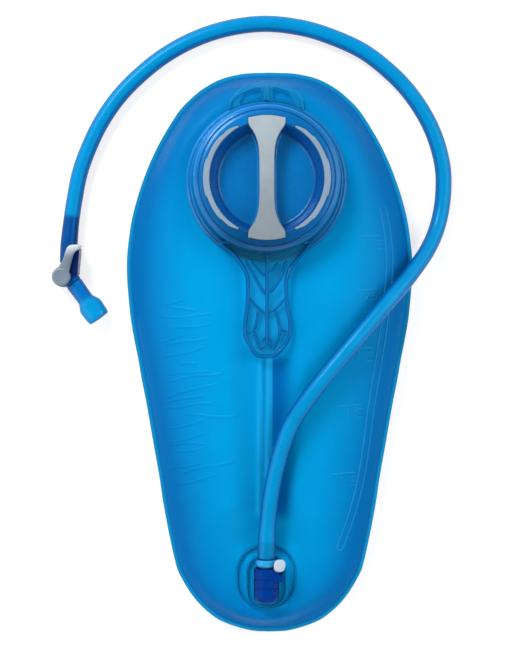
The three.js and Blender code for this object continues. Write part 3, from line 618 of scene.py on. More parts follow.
full_edge = np.vstack([outer, (outer * (-1, 1))[::-1][1:-1]])
edge_tree = KDTree(len(full_edge))
for i, p in enumerate(full_edge):
    edge_tree.insert((p[0], p[1], 0), i)
edge_tree.balance()
edge_s = np.concatenate([[0], np.cumsum(np.linalg.norm(np.diff(full_edge, axis=0), axis=1))])


def from_edge(x, y):
    """Distance from the bag's edge and place along it."""
    d = np.zeros(len(x))
    s = np.zeros(len(x))
    for i in range(len(x)):
        co, k, dist = edge_tree.find((x[i], y[i], 0))
        d[i] = dist
        s[i] = edge_s[k]
    return d, s


SCALE_PX = 0.7527


def px(x, y, z=None):
    """A point of the front film's plan from the drawing's grid of 0.7527 mm."""
    sx, sy = (x - 269.5) * SCALE_PX, (352 - y) * SCALE_PX
    zz = 40.0
    for _ in range(3):
        k = (962 - zz) / 950
        X, Y = -11.7 + (sx + 11.7) * k, 15.8 + (sy - 15.8) * k
        zz = float(film_top(np.array([X]), np.array([Y]))[0]) if z is None else z
    return X, Y


def px_path(points, z=None):
    return np.array([px(a, b, z) for a, b in points])


# ---- drinking hose, first, because it is the free cord -----------------------------
hose_line = spaced(catmull(HOSE_PATH, 14), 560)
HOSE_LEN = float(np.linalg.norm(np.diff(hose_line, axis=0), axis=1).sum())


def hose_mesh():
    P = hose_line
    n = len(P)
    s = np.linspace(0, HOSE_LEN, n)
    # the wall swells where it is pushed over the barbs, and tapers off from there
    swell = 0.42 * (1 - smooth(9, 30, s)) + 0.40 * (1 - smooth(13, 34, HOSE_LEN - s))
    R = HOSE_R - 0.12 + swell - 0.25 * (1 - smooth(0, 0.9, s)) - 0.25 * (1 - smooth(0, 0.9, HOSE_LEN - s))
    sides = 40
    T = np.gradient(P, axis=0)
    T /= np.linalg.norm(T, axis=1)[:, None]
    up = np.array([0, 0, 1.0])
    verts, faces, tint = [], [], []
    rings = []
    for i in range(n):
        v = up - (up @ T[i]) * T[i]
        v /= np.linalg.norm(v)
        u = np.cross(T[i], v)
        rings.append((P[i], u, v))
    for (p, u, v), r in zip(rings, R):
        for k in range(sides):
            a = 2 * math.pi * k / sides
            verts.append(p + r * (math.cos(a) * u + math.sin(a) * v))
    for (p, u, v) in rings:
        for k in range(sides):
            a = 2 * math.pi * k / sides
            verts.append(p + HOSE_BORE * (math.cos(a) * u + math.sin(a) * v))
    o = n * sides
    for i in range(n - 1):
        for k in range(sides):
            l = (k + 1) % sides
            faces.append([i * sides + k, i * sides + l, (i + 1) * sides + l, (i + 1) * sides + k])
            faces.append([o + i * sides + k, o + (i + 1) * sides + k, o + (i + 1) * sides + l, o + i * sides + l])
    for i in (0, n - 1):
        for k in range(sides):
            l = (k + 1) % sides
            f = [i * sides + k, o + i * sides + k, o + i * sides + l, i * sides + l]
            faces.append(f if i == 0 else f[::-1])
    ob = made("hose_tube", verts, faces, merge=0)
    # painted highlight along the top of the clear tube and painted shade down its sides; the tube is also painted
    # darker near the plug and towards the valve end
    co = coords(ob)
    idx = np.repeat(np.arange(n), sides)
    idx = np.concatenate([idx, idx])
    nz = (co[:, 2] - P[idx, 2]) / HOSE_R
    lateral = np.sqrt(np.clip(1 - nz * nz, 0, 1))
    mid, side, low = seen(14, 150, 214), seen(2, 92, 170), seen(0, 62, 132)
    t = smooth(0.32, 0.99, nz)[:, None]
    rgb = side + (mid - side) * t
    rgb = np.where((nz < 0.18)[:, None], low + (side - low) * smooth(-0.5, 0.18, nz)[:, None], rgb)
    far = (1 - smooth(33.0, 38.0, HOSE_LEN - s))[idx]
    rgb = rgb * (1 - 0.18 * (1 - smooth(11.0, 13.5, s))[idx])[:, None]
    dark = seen(10, 62, 140)
    rgb = rgb + (dark * (0.55 + 0.6 * t) - rgb) * (0.88 * far)[:, None]
    paint(ob, "tint", rgb)
    return ob


hose = hose_mesh()

# ---- films ----------------------------------------------------------------------
n_s1, n_s2, n_xy, n_xy2 = noise1(7), noise1(19), noise2(3), noise2(11)


def ripple(x, y, d, s):
    """Small unevenness of the film: puckers at the weld and slow waves further in."""
    env = smooth(2.0, 7, d) * (1 - smooth(11, 30, d))
    z = 0.20 * env * n_s1(s / 9.0) + 0.12 * env * n_s2(s / 4.7)
    slow = smooth(10, 34, d)
    keep = smooth(62, 76, np.hypot(x - NX, y - NY)) * smooth(26, 40, np.hypot(x - OX, (y - OY) * 0.9))
    z = z + slow * keep * (0.32 * n_xy(x / 26 + 9, y / 44 + 4) + 0.10 * n_xy2(x / 9 + 2, y / 15 + 5))
    return z * smooth(60.2, 66, np.hypot(x - NX, y - NY))


def baffle_lines(x, y):
    """Two rounded ridges with a groove between, where the baffle is welded to the film."""
    fade = smooth(-1, -6, y) * smooth(-126, -116, y)
    left = np.exp(-(((x + 8.0) / 1.75) ** 4))
    right = np.exp(-(((x + 1.6) / 1.95) ** 4))
    groove = np.exp(-(((x + 4.85) / 0.75) ** 2))
    return fade * (0.75 * left + 1.0 * right - 0.2 * groove)


def surface(x, y, edge_data=None):
    d, s = edge_data if edge_data is not None else from_edge(x, y)
    return film_top(x, y) + ripple(x, y, d, s) + baffle_lines(x, y)


def film_colour(x, y, d):
    """Painted shade and light: the film is painted deeper along its edges, where it slopes away from the lamps, and
    paler over the crown, where more water is behind it.
    """
    stops = [0, 2.6, 3.4, 6, 12, 20, 31, 46, 62, 90]
    cols = [(34, 150, 208), (24, 146, 206), (4, 112, 182), (4, 112, 184), (4, 114, 186), (4, 129, 200), (3, 144, 212), (5, 157, 224),
            (3, 160, 226), (2, 154, 222)]
    cols = np.array([seen(*c) for c in cols])
    rgb = np.stack([np.interp(d, stops, cols[:, k]) for k in range(3)], 1)
    # a little paler towards the foot
    foot = smooth(-120, -205, y)[:, None]
    rgb = rgb * (1 + 0.06 * foot)
    # the baffle: painted highlights on two paler strips, a groove between them, and painted shade in a deeper band to
    # the right
    along = smooth(-1, -6, y) * smooth(-126, -116, y)

    def towards(rgb, colour, w):
        return rgb + (seen(*colour) - rgb) * np.clip(w, 0, 1)[:, None]

    def between(x0, x1, soft):
        return smooth(x0 - soft, x0 + soft, x) * (1 - smooth(x1 - soft, x1 + soft, x))

    rgb = towards(rgb, (3, 106, 184), 0.95 * along * smooth(1.2, 2.6, x) * (1 - smooth(6, 21, x)))
    rgb = towards(rgb, (30, 174, 238), 0.8 * along * between(-9.4, -5.4, 0.5))
    rgb = towards(rgb, (34, 176, 240), 0.75 * along * between(-3.2, 1.4, 0.5))
    rgb = towards(rgb, (8, 140, 208), 0.8 * along * between(-5.4, -3.2, 0.35))
    # painted light under the clear fittings: paler film that lifts the shadows they cast on it
    under_out = smooth(24, 20, np.abs(x - OX)) * smooth(25.5, 22, np.abs(y + 166.0))
    under_in = smooth(17, 14, np.abs(x - OX)) * smooth(21, 18, np.abs(y + 169.0))
    under_hand = smooth(21, 15, np.abs(x - NX)) * smooth(0, 8, y) * smooth(76, 66, y)
    return rgb * (1 + 0.10 * under_out + 0.30 * under_in + 0.30 * under_hand)[:, None]


def film_mesh(name, us, rows, top):
    us = np.asarray(us)
    W, Y = inner[rows, 0], inner[rows, 1]
    U = np.tile(us, (len(rows), 1))
    Xg = x_at(U, W[:, None])
    Yg = np.tile(Y[:, None], (1, len(us)))
    out = outer[rows]
    extra = [0.33, 0.72, 1.0]
    left, right = [], []
    for e in extra:
        q = np.stack([W, Y], 1) + (out - np.stack([W, Y], 1)) * e
        right.append(q)
        left.insert(0, q * (-1, 1))
    X = np.hstack([np.stack([q[:, 0] for q in left], 1), Xg, np.stack([q[:, 0] for q in right], 1)])
    Yy = np.hstack([np.stack([q[:, 1] for q in left], 1), Yg, np.stack([q[:, 1] for q in right], 1)])
    Uu = np.hstack([np.full((len(rows), 3), -1.0), U, np.full((len(rows), 3), 1.0)])
    nr, nc = X.shape
    x, y, u = X.ravel(), Yy.ravel(), Uu.ravel()
    d, s = from_edge(x, y)
    z = top(u, y, x, d, s)
    return x, y, z, d, s, nr, nc


def skin(name, x, y, z, nr, nc, thick, side, holes=()):
    """Two skins of one film, closed along the outer edge and round the holes."""
    P = np.stack([x, y, z], 1)
    G = P.reshape(nr, nc, 3)
    du = np.gradient(G, axis=1)
    dv = np.gradient(G, axis=0)
    nrm = np.cross(du, dv).reshape(-1, 3)
    l = np.linalg.norm(nrm, axis=1)
    nrm = np.where(l[:, None] > 1e-9, nrm / np.maximum(l, 1e-9)[:, None], (0, 0, 1.0))
    nrm[nrm[:, 2] < 0] *= -1
    rim = np.zeros((nr, nc), bool)
    rim[:, :4] = rim[:, -4:] = True
    rim[0] = rim[-1] = True
    nrm[rim.ravel()] = (0, 0, 1)
    used = np.ones(nr * nc, bool)
    idx = np.arange(nr * nc).reshape(nr, nc)
    quads = np.stack([idx[:-1, :-1], idx[1:, :-1], idx[1:, 1:], idx[:-1, 1:]], -1).reshape(-1, 4)
    keep = np.ones(len(quads), bool)
    for hx, hy, hr in holes:
        inside = np.hypot(P[:, 0] - hx, P[:, 1] - hy) < hr
        keep &= ~inside[quads].all(1)
        v = np.unique(quads[keep].ravel())
        v = v[inside[v]]
        c = np.array([hx, hy])
        w = P[v, :2] - c
        P[v, :2] = c + w / np.linalg.norm(w, axis=1)[:, None] * hr
    quads = quads[keep]
    Q = P - side * nrm * thick
    n = len(P)
    faces = quads if side > 0 else quads[:, ::-1]
    back = (quads[:, ::-1] if side > 0 else quads) + n
    # walls along every open edge
    e = np.concatenate([faces[:, [0, 1]], faces[:, [1, 2]], faces[:, [2, 3]], faces[:, [3, 0]]])
    key = np.sort(e, 1)
    _, inv, cnt = np.unique(key[:, 0].astype(np.int64) * (2 * n) + key[:, 1], return_inverse=True, return_counts=True)
    border = e[cnt[inv] == 1]
    # the first and last rows close on themselves along the middle line, so they need no wall
    row = border // nc
    border = border[~((row[:, 0] == row[:, 1]) & ((row[:, 0] == 0) | (row[:, 0] == nr - 1)))]
    walls = np.stack([border[:, 1], border[:, 0], border[:, 0] + n, border[:, 1] + n], 1)
    allf = np.vstack([faces, back, walls]).tolist()
    V = np.vstack([P, Q])
    me = bpy.data.meshes.new(name)
    me.from_pydata((V * MM).tolist(), [], allf)
    ob = bpy.data.objects.new(name, me)
    scene.collection.objects.link(ob)
    return ob


def finish_skin(ob, dist=2e-6):
    me = ob.data
    bm = bmesh.new()
    bm.from_mesh(me)
    bmesh.ops.remove_doubles(bm, verts=bm.verts, dist=dist)
    bmesh.ops.dissolve_degenerate(bm, edges=bm.edges, dist=1e-7)
    loose = [v for v in bm.verts if not v.link_faces]
    bmesh.ops.delete(bm, geom=loose, context="VERTS")
    bm.to_mesh(me)
    bm.free()
    me.shade_smooth()
    me.set_sharp_from_angle(angle=math.radians(60))


s_ = np.linspace(-1, 1, 151)
us_front = 0.62 * s_ + 0.38 * np.sin(math.pi / 2 * s_)
rows_front = np.unique(np.round(np.linspace(0, ROWS - 1, 430)).astype(int))
x, y, z, d, s, nr, nc = film_mesh(
    "front", us_front, rows_front,
    lambda u, y, x, d, s: front_z(u, y, x) + ripple(x, y, d, s) * (np.abs(u) < 0.9999) + baffle_lines(x, y),
)
front = skin("front_film_sheet", x, y, z, nr, nc, 0.55, 1, holes=[(NX, NY, OPENING_R + 1.6), (OX, -175.5, 6.4)])
paint(front, "tint", np.vstack([film_colour(x, y, d)] * 2))
finish_skin(front)

s_ = np.linspace(-1, 1, 81)
us_back = 0.5 * s_ + 0.5 * np.sin(math.pi / 2 * s_)
rows_back = np.unique(np.round(np.linspace(0, ROWS - 1, 260)).astype(int))
x, y, z, d, s, nr, nc = film_mesh(
    "back", us_back, rows_back,
    lambda u, y, x, d, s: np.maximum(0.05, back_z(u, y) + 0.22 * smooth(3, 7, d) * (1 - smooth(9, 22, d)) * n_s2(s / 8.0) * (np.abs(u) < 0.9999)),
)
back = skin("back_film_sheet", x, y, z, nr, nc, 0.55, -1)
# the back film takes the same painted shade along its edges
paint(back, "tint", np.vstack([film_colour(x * 0 + 200, y, d)] * 2))
finish_skin(back)


# raised lines moulded into the front film
def ribbon(path, width=1.5, height=0.28, step=1.1, taper=True):
    P = resample(np.array(path, float), step, closed=False)
    T = np.gradient(P, axis=0)
    T /= np.maximum(1e-9, np.linalg.norm(T, axis=1))[:, None]
    Nn = np.stack([-T[:, 1], T[:, 0]], 1)
    n = len(P)
    t = np.linspace(0, 1, n)
    L = np.linalg.norm(np.diff(P, axis=0), axis=1).sum()
    f = np.clip(np.minimum(t, 1 - t) * L / (1.2 if taper else 0.4), 0, 1) ** 0.5 if taper else np.ones(n)
    offs = [(-0.5, -0.10), (-0.3, 0.62), (0, 1.0), (0.3, 0.62), (0.5, -0.10), (0, -1.2)]
    cols, hs = [], []
    for o, h in offs:
        q = P + Nn * (o * width * np.maximum(0.35, f))[:, None]
        cols.append(q)
        hs.append(np.full(n, 1.0) * h)
    XY = np.stack(cols, 1).reshape(-1, 2)
    H = (np.stack(hs, 1) * (height * np.maximum(0.15, f))[:, None]).reshape(-1)
    dd = from_edge(XY[:, 0], XY[:, 1])
    Z = surface(XY[:, 0], XY[:, 1], dd) + H
    m = len(offs)
    verts = [tuple(v) for v in np.column_stack([XY, Z])]
    faces = []
    for i in range(n - 1):
        for k in range(m):
            l = (k + 1) % m
            faces.append([i * m + k, i * m + l, (i + 1) * m + l, (i + 1) * m + k])
    faces.append(list(range(m))[::-1])
    faces.append([(n - 1) * m + k for k in range(m)])
    return verts, faces


DIGITS = {
    "3": [[(0, 1), (0.75, 1), (1, 0.85), (1, 0.65), (0.75, 0.52), (0.35, 0.52)], [(0.75, 0.52), (1, 0.36), (1, 0.16), (0.75, 0), (0, 0)]],
    "2": [[(0, 0.85), (0.25, 1), (0.75, 1), (1, 0.82), (1, 0.62), (0, 0), (1, 0)]],
    "1": [[(0.2, 0.82), (0.6, 1), (0.6, 0)], [(0.2, 0), (1, 0)]],
    "5": [[(0.95, 1), (0.05, 1), (0.05, 0.56), (0.7, 0.6), (1, 0.42), (1, 0.18), (0.72, 0), (0, 0)]],
    ".": [[(0.4, 0), (0.55, 0.02)]],
}


def digits(text, x, y, w, h, tilt=0.0):
    out = []
    c, s = math.cos(tilt), math.sin(tilt)
    cx = 0.0
    for ch in text:
        for stroke in DIGITS[ch]:
            pts = []
            for a, b in stroke:
                X, Y = (cx + a * w), b * h
                pts.append((x + c * X - s * Y, y + s * X + c * Y))
            out.append(pts)
        cx += w * (0.75 if ch == "." else 1.45)
    return out


marks = []
# volume scale on the right: a tick, its number and two short ticks below
for text, mx, my in (("3", 372, 243), ("2.5", 372, 297), ("2", 362, 355), ("1.5", 352, 412), ("1", 346, 480)):
    X, Y = px(mx, my)
    for st in digits(text, X - 5.0, Y - 2.2, 2.7, 5.0):
        marks.append(ribbon(st, 1.0, 0.50, 0.6))
    marks.append(ribbon([(X - 11, Y + 4.6), (X + 7, Y + 5.6)], 1.0, 0.30, 0.9))
    for k in range(1, 4):
        marks.append(ribbon([(X + 3.0, Y + 5.0 - k * 3.1), (X + 8.0, Y + 5.3 - k * 3.1)], 0.8, 0.26, 0.9))
# the double line that runs down the right and turns in a U at the foot
band = px_path([(383, 207), (388, 236), (390, 262), (388, 292), (383, 330), (377, 370), (371, 408), (367, 440), (361, 478), (352, 514), (345, 534), (340, 547)])
band = catmull(band, 10)
T = np.gradient(band, axis=0)
T /= np.linalg.norm(T, axis=1)[:, None]
Nn = np.stack([-T[:, 1], T[:, 0]], 1)
a, b = band + Nn * 2.4, band - Nn * 2.4
foot = [b[-1] + T[-1] * 2.6 * math.sin(t) + (a[-1] - b[-1]) * (1 - math.cos(t)) / 2 for t in np.linspace(0, math.pi, 9)[1:-1]]
marks.append(ribbon(np.vstack([b, foot, a[::-1]]), 1.3, 0.48, 1.4))
# generic pleats on the left
rng = np.random.RandomState(5)
for k in range(21):
    yy = lerp(40, -92, (k + 0.7 * (rng.rand() - 0.5)) / 20)
    base = lerp(-82, -74, k / 20)
    x0 = base + 14 * rng.rand() * (k % 2)
    x1 = x0 + 12 + 30 * rng.rand()
    tilt = 0.05 + 0.36 * (rng.rand() - 0.3)
    ph, amp = 6.3 * rng.rand(), 0.5 + 0.9 * rng.rand()
    pts = [(xx, yy + (xx - base - 24) * tilt + amp * math.sin((xx - base) / 7.0 + ph)) for xx in np.linspace(x0, x1, 40)]
    marks.append(ribbon(pts, 2.6, 0.42, 1.3))
mv, mf = joined(*marks)
film_marks = made("film_marks", mv, mf, angle=80, merge=0)
co = coords(film_marks)
dd, _ = from_edge(co[:, 0], co[:, 1])
base = film_colour(co[:, 0], co[:, 1], dd)
# the marks on the right are painted paler than the film, a painted highlight on their raised lines
k = np.where(co[:, 0] > 20, 0.15, 0.0)[:, None]
paint(film_marks, "tint", base + (seen(84, 196, 246) - base) * k)

# inner baffle, just under the film
ys = np.linspace(BAFFLE_Y[1] - 1, BAFFLE_Y[0] + 1, 70)
bx = BAFFLE_X * 0.9


def strip(xs, zt, zb):
    rings = []
    for i, yy in enumerate(ys):
        rings.append([(bx + x0, yy, zz) for x0, zz in ((xs[0], zb(xs[0], yy)), (xs[1], zb(xs[1], yy)), (xs[1], zt(xs[1], yy)), (xs[0], zt(xs[0], yy)))])
    return loft_data(rings)


def under(x0, yy, drop):
    return float(film_top(np.array([bx + x0]), np.array([yy]))[0]) - drop


parts = [strip((-0.4, 0.4), lambda a_, b_: under(a_, b_, 1.6), lambda a_, b_: 1.2)]
parts.append(strip((-5.0, 5.0), lambda a_, b_: under(a_, b_, 1.55), lambda a_, b_: under(a_, b_, 2.1)))
parts.append(strip((-5.0, 5.0), lambda a_, b_: 1.5, lambda a_, b_: 0.95))
baffle = made("baffle_strip", *joined(*parts), angle=30, merge=0)

# ---- fill port --------------------------------------------------------------------
port_parts = []
prof = fillet(
    [(OPENING_R, 38.3), (FLANGE_R, 38.3), (FLANGE_R, 39.5), (57.3, 40.7), (55.8, 40.7), (55.1, 41.3), (NECK_R, 41.3),
     (NECK_R, 56.6), (OPENING_R, 56.6)],
    [0.4, 0.5, 0.7, 0.7, 0.3, 0.4, 0.5, 0.9, 0.9], 4,
)
port_parts.append(lathe_data(prof, (NX, NY, 0), seg=160))
for k in range(3):
    pts, rad = [], []
    for i in range(40):
        t = i / 39
        an = math.radians(k * 120 + 10 + 85 * t)
        pts.append((NX + (NECK_R + 0.1) * math.cos(an), NY + (NECK_R + 0.1) * math.sin(an), 45.4 + 5.5 * t))
        rad.append(0.85 * min(1, 5 * t + 0.2, 5 * (1 - t) + 0.2))
    port_parts.append(tube_data(pts, rad, 12))
port_neck = made("fill_port_ring", *joined(*port_parts), merge=0)

# handle: a clear tongue with a bead along its outline and moulded ribs
HZ = 46.0
left = px_path([(219, 240.5), (222, 246.4), (232.5, 254.5), (238.9, 262.5), (243.7, 270.5), (246.1, 278.6), (246.5, 289.8), (246.1, 304.3), (244.1, 320.4),
                (243.3, 330), (244.9, 338.9), (248.5, 345.3), (253.4, 353.2), (257.4, 356.4), (263.8, 357.8)], HZ)
right = px_path([(314.5, 240.5), (311.2, 244.8), (303.2, 254.5), (296.8, 261.7), (292.7, 266.5), (288.2, 278.6), (287.6, 291.4), (288.7, 308.3), (291.1, 320.4),
                 (291.5, 330.8), (289.6, 339.5), (285.8, 346.2), (279.5, 353.0), (274.5, 356.6), (268.5, 357.8)], HZ)
lc, rc = catmull(left, 8), catmull(right, 8)
tongue_line = np.vstack([lc, rc[::-1]])
tongue = resample(tongue_line, 1.3)


def tongue_z(x, y):
    return float(lerp(40.9, 44.4, smooth(74, 46, y)))


hparts = [prism_data(tongue, [(0.9, 0.1), (0.25, 0.35), (0, 0.9), (0, 1.3), (0.25, 1.75), (0.8, 2.0)], tongue_z)]


def bead(path, r, h, closed=False, step=1.2, taper=0.0):
    P = resample(path, step, closed) if closed else resample(path, step, False)
    if closed:
        P = np.vstack([P, P[:1]])
    pts = [(a_, b_, tongue_z(a_, b_) + h) for a_, b_ in P]
    n = len(pts)
    rr = [r * min(1.0, 0.45 + taper * min(i, n - 1 - i)) if taper else r for i in range(n)]
    return tube_data(pts, rr, 12)


rim_line = inset(anticlockwise(tongue), 0.95)
beads = [bead(rim_line, 1.45, 2.05, closed=True)]
ribs = [
    ([(266.9, 250.5), (266.9, 344.5)], 1.0),
    ([(250.9, 260.5), (258, 269.5), (265.9, 275.8)], 0.8),
    ([(278.3, 262.3), (273.4, 268.5), (267.9, 272.6)], 0.8),
    ([(245.3, 260.1), (250.9, 270.5), (257.4, 281.8), (261.4, 289.4), (266.6, 294.4)], 0.9),
    ([(286.5, 259.7), (280.9, 276.2), (274.5, 287), (268.2, 293.6)], 0.9),
    ([(248.6, 297.2), (257, 306.5), (264.6, 313.2)], 0.8),
    ([(284.6, 298.4), (278, 306.5), (269.6, 313.0)], 0.8),
    ([(264.6, 313.2), (266.9, 314.5), (269.6, 313.0)], 0.7),
    ([(258.6, 309.5), (256.6, 321.2), (253.6, 329.6), (247.6, 334)], 0.9),
    ([(254.4, 331.2), (256.6, 341.3), (260.6, 350.1)], 0.9),
    ([(275.1, 309.5), (278.3, 321.2), (279.9, 329.2), (278.2, 339.2), (273.0, 349.4)], 0.9),
    ([(279.5, 329.6), (287.6, 331.6)], 0.7),
    ([(266.9, 334.0), (261.5, 342.5)], 0.7),
    ([(266.9, 334.0), (272.2, 342.5)], 0.7),
    ([(260.6, 350.1), (266.9, 344.5), (273.0, 349.4)], 0.7),
]
for pts, r in ribs:
    P = px_path(pts, HZ)
    if len(P) > 2:
        P = catmull(P, 8)
    beads.append(bead(P, r * 1.2, 2.05, step=1.0, taper=0.25))
port_handle = made("carry_handle", *joined(*hparts), merge=0)
handle_ribs = made("carry_handle_ribs", *joined(*beads), merge=0)

# hanging tab with two slots beyond the flange
z0 = 38.3


def arc(r, a0, a1, n, cx=NX, cy=NY):
    return [(cx + r * math.cos(math.radians(lerp(a0, a1, i / n))), cy + r * math.sin(math.radians(lerp(a0, a1, i / n)))) for i in range(n + 1)]


hang = catmull([(NX + 27.5, NY + 50), (NX + 25.9, NY + 60.5), (NX + 19, NY + 67.5), (NX + 10, NY + 71.6), (NX, NY + 72.8), (NX - 10, NY + 71.6),
                (NX - 19, NY + 67.5), (NX - 25.9, NY + 60.5), (NX - 27.5, NY + 50)], 8)
tab = made("hanging_tab_plate", *prism_data(resample(hang, 1.4), edge_rings(z0, z0 + 2.6, 0.4, 0.8)), merge=0)
cuts = []
for sgn in (-1, 1):
    sl = arc(60.6, 90 - sgn * 4.2, 90 - sgn * 20.0, 8) + [(NX + sgn * 16.8, NY + 64.8), (NX + sgn * 9, NY + 67.9), (NX + sgn * 4.4, NY + 68.7)]
    cuts.append(made("slot_cut", *prism_data(resample(fillet(sl, 1.2, 3), 1.0), [(0, z0 - 3), (0, z0 + 6)]), merge=0))
ring_cut = made("ring_cut", *lathe_data([(0, z0 - 3), (58.6, z0 - 3), (58.6, z0 + 6), (0, z0 + 6)], (NX, NY, 0), seg=160))
cut(tab, *cuts, ring_cut)
tab_rib = made("tab_rib", *prism_data(
    resample(fillet([(NX - 2.1, NY + 58.6), (NX + 2.1, NY + 58.6), (NX + 1.5, NY + 72.0), (NX - 1.5, NY + 72.0)], 1.0, 3), 0.8),
    edge_rings(z0 + 1.6, z0 + 3.5, 0, 0.8)), merge=0)

# ---- lid --------------------------------------------------------------------------
low = 42.8
lid_prof = [(0, 46), (37.2, 46), (41.9, 56.2), (42.3, 58), (49.7, 58), (49.7, low), (52.2, low), (LID_R, low + 0.8),
            (LID_R, LID_TOP - 8), (LID_R - 0.1, LID_TOP - 4.2), (LID_R - 0.55, LID_TOP - 2.5), (LID_R - 1.6, LID_TOP - 1.65),
            (LID_R - 3.5, LID_TOP - 0.8), (LID_R - 3.8, LID_TOP - 1.25), (LID_R - 4.5, LID_TOP - 1.2), (LID_R - 4.8, LID_TOP - 0.45),
            (LID_R - 6.4, LID_TOP), (40.8, LID_TOP), (39.6, 60.2), (35.9, 49.6), (34.2, 48.5), (0, 48.5)]
lid_rad = [0, 0.5, 0.5, 0.4, 0.4, 0.3, 0.6, 0.5, 3, 3.5, 3, 3, 0.35, 0.25, 0.25, 0.3, 0.3, 1.3, 2.5, 1.8, 1.8, 0]
lid = made("lid_shell", *lathe_data(fillet(lid_prof, lid_rad, 6), (NX, NY, 0), seg=192), angle=50)
bar_half = [(13.4, 43.2), (13.2, 38.5), (11.9, 36), (9.9, 33.2), (7.6, 28.5), (6.1, 22.5), (5.5, 15), (5.4, 0),
            (5.5, -15), (6.1, -22.5), (7.6, -28.5), (9.9, -33.2), (11.9, -36), (13.2, -38.5), (13.4, -43.2)]


def bar_outline(grow=0.0):
    c = catmull(bar_half, 6)
    rightp = [(x0 + grow, y0) for x0, y0 in c]
    foot = [(x0, -math.sqrt(45.0 ** 2 - x0 * x0) + 0.3) for x0 in np.linspace(11.5, -11.5, 13)]
    leftp = [(-x0, -y0) for x0, y0 in rightp]
    head = [(-x0, -y0) for x0, y0 in foot]
    return np.array([(NX + x0, NY + y0) for x0, y0 in rightp + foot + leftp + head])


def arc_out(d):
    return 45.8 - 0.9 * smooth(15, 19, d) - 0.8 * smooth(40, 44, d) - 1.4 * smooth(50, 61, d)


def grip_arc(s, grow=0.0):
    pts = []
    n = 90
    for i in range(n + 1):
        dd_ = lerp(-61 - grow * 0.8, 61 + grow * 0.8, i / n)
        r = grow + float(arc_out(abs(dd_)))
        pts.append((r, dd_))
    for i in range(n, -1, -1):
        pts.append((41.0 - grow, lerp(-61 - grow * 0.8, 61 + grow * 0.8, i / n)))
    return np.array([(NX + s * r * math.cos(math.radians(a_)), NY + r * math.sin(math.radians(a_))) for r, a_ in pts])


bar_o = resample(bar_outline(), 1.1)
web_o = resample(inset(anticlockwise(bar_outline()), 1.3), 1.2)
# the wall under the bar, flaring into the floors of the two wells
web = made("lid_web", *prism_data(web_o, [(-3.4, 48.3), (-2.6, 48.6), (-1.5, 49.4), (-0.8, 50.8), (-0.4, 53), (0.3, 59.6), (0.6, 60.3)]), merge=0, angle=60)
clip = made("web_clip", *lathe_data([(0, 40), (40.4, 40), (40.4, 70), (0, 70)], (NX, NY, 0), seg=96))
m = web.modifiers.new("trim", "BOOLEAN")
m.operation = "INTERSECT"
m.solver = "EXACT"
m.object = clip
flat(web, 60)
bpy.data.objects.remove(clip)
cut(lid,
    made("c1", *prism_data(resample(inset(anticlockwise(bar_outline()), -0.25), 1.2), [(0, 60.4), (0, 66)]), merge=0),
    made("c2", *prism_data(resample(grip_arc(1, 0.25), 1.2), [(0, 60.4), (0, 66)]), merge=0),
    made("c3", *prism_data(resample(grip_arc(-1, 0.25), 1.2), [(0, 60.4), (0, 66)]), merge=0))
lid.data.set_sharp_from_angle(angle=math.radians(42))
bar = made("grip_bar", *prism_data(bar_o, edge_rings(60.5, 62.7, 0, 0.9, 5)), merge=0, angle=50)
arc_r = made("grip_arc_right", *prism_data(resample(grip_arc(1), 0.9), edge_rings(60.5, 62.6, 0, 0.55, 4)), merge=0, angle=50)
arc_l = made("grip_arc_left", *prism_data(resample(grip_arc(-1), 0.9), edge_rings(60.5, 62.6, 0, 0.55, 4)), merge=0, angle=50)

# ---- outlet -----------------------------------------------------------------------
zo = OUTLET_Z + GAP


def rounded_plate(hw, ya, yb, r):
    pts = []
    for cx, cy, a0 in ((hw - r, yb - r, 0), (-(hw - r), yb - r, 90), (-(hw - r), ya + r, 180), (hw - r, ya + r, 270)):
        for i in range(13):
            an = math.radians(a0 + i * 7.5)
            pts.append((OX + cx + r * math.cos(an), cy + r * math.sin(an)))
    return resample(pts, 1.0)


outlet = made("outlet_plate", *joined(
    prism_data(rounded_plate(22.3, -190, -142, 20), edge_rings(zo, zo + 1.3, 0, 1.0)),
    prism_data(rounded_plate(15, -188.5, -149.5, 12.5), edge_rings(zo + 0.5, zo + 2.2, 0, 1.1))), merge=0)

contours = []
for hw, ya, yb, rr, zz, cr in ((22.3, -190, -142, 20, zo + 1.3, 0.62), (15, -188.5, -149.5, 12.5, zo + 2.15, 0.58)):
    line = inset(anticlockwise(rounded_plate(hw, ya, yb, rr)), 1.0)
    line = np.vstack([line, line[:1]])
    contours.append(tube_data([(a_, b_, zz) for a_, b_ in line], [cr] * len(line), 10))
outlet_lines = made("outlet_plate_lines", *joined(*contours), merge=0)

base = zo + 2.2 + GAP
AX = (0, 1, 0)
at = lambda yy: (OX, yy, PLUG_Z)
sock_prof = fillet(
    [(0, 0), (5.6, 0), (8.2, 0.9), (9.35, 3.4), (9.35, 9.9), (8.9, 10.3), (8.9, 11.0), (9.35, 11.4), (9.35, 16.6), (9.0, 16.9), (9.0, 17.4), (9.35, 17.7),
     (9.35, 22.6), (8.7, 24.9), (5.5, 24.9), (5.5, 12), (4.8, 11.5), (4.8, 3.0), (0, 3.0)],
    [0, 2.2, 1.6, 2.0, 0.25, 0.2, 0.2, 0.25, 0.2, 0.15, 0.15, 0.2, 0.8, 0.7, 0.5, 0.1, 0.1, 0.1, 0], 4)
sock = made("outlet_socket_barrel", *lathe_data(sock_prof, at(-182.2), AX, seg=96), angle=50)
blk = made("socket_foot", *prism_data(resample(fillet([(OX - 7.4, -178.6), (OX + 7.4, -178.6), (OX + 7.4, -159.2), (OX - 7.4, -159.2)], 2.0, 5), 0.9),
                                      edge_rings(base, PLUG_Z - 6.2, 0.4, 0)), merge=0)
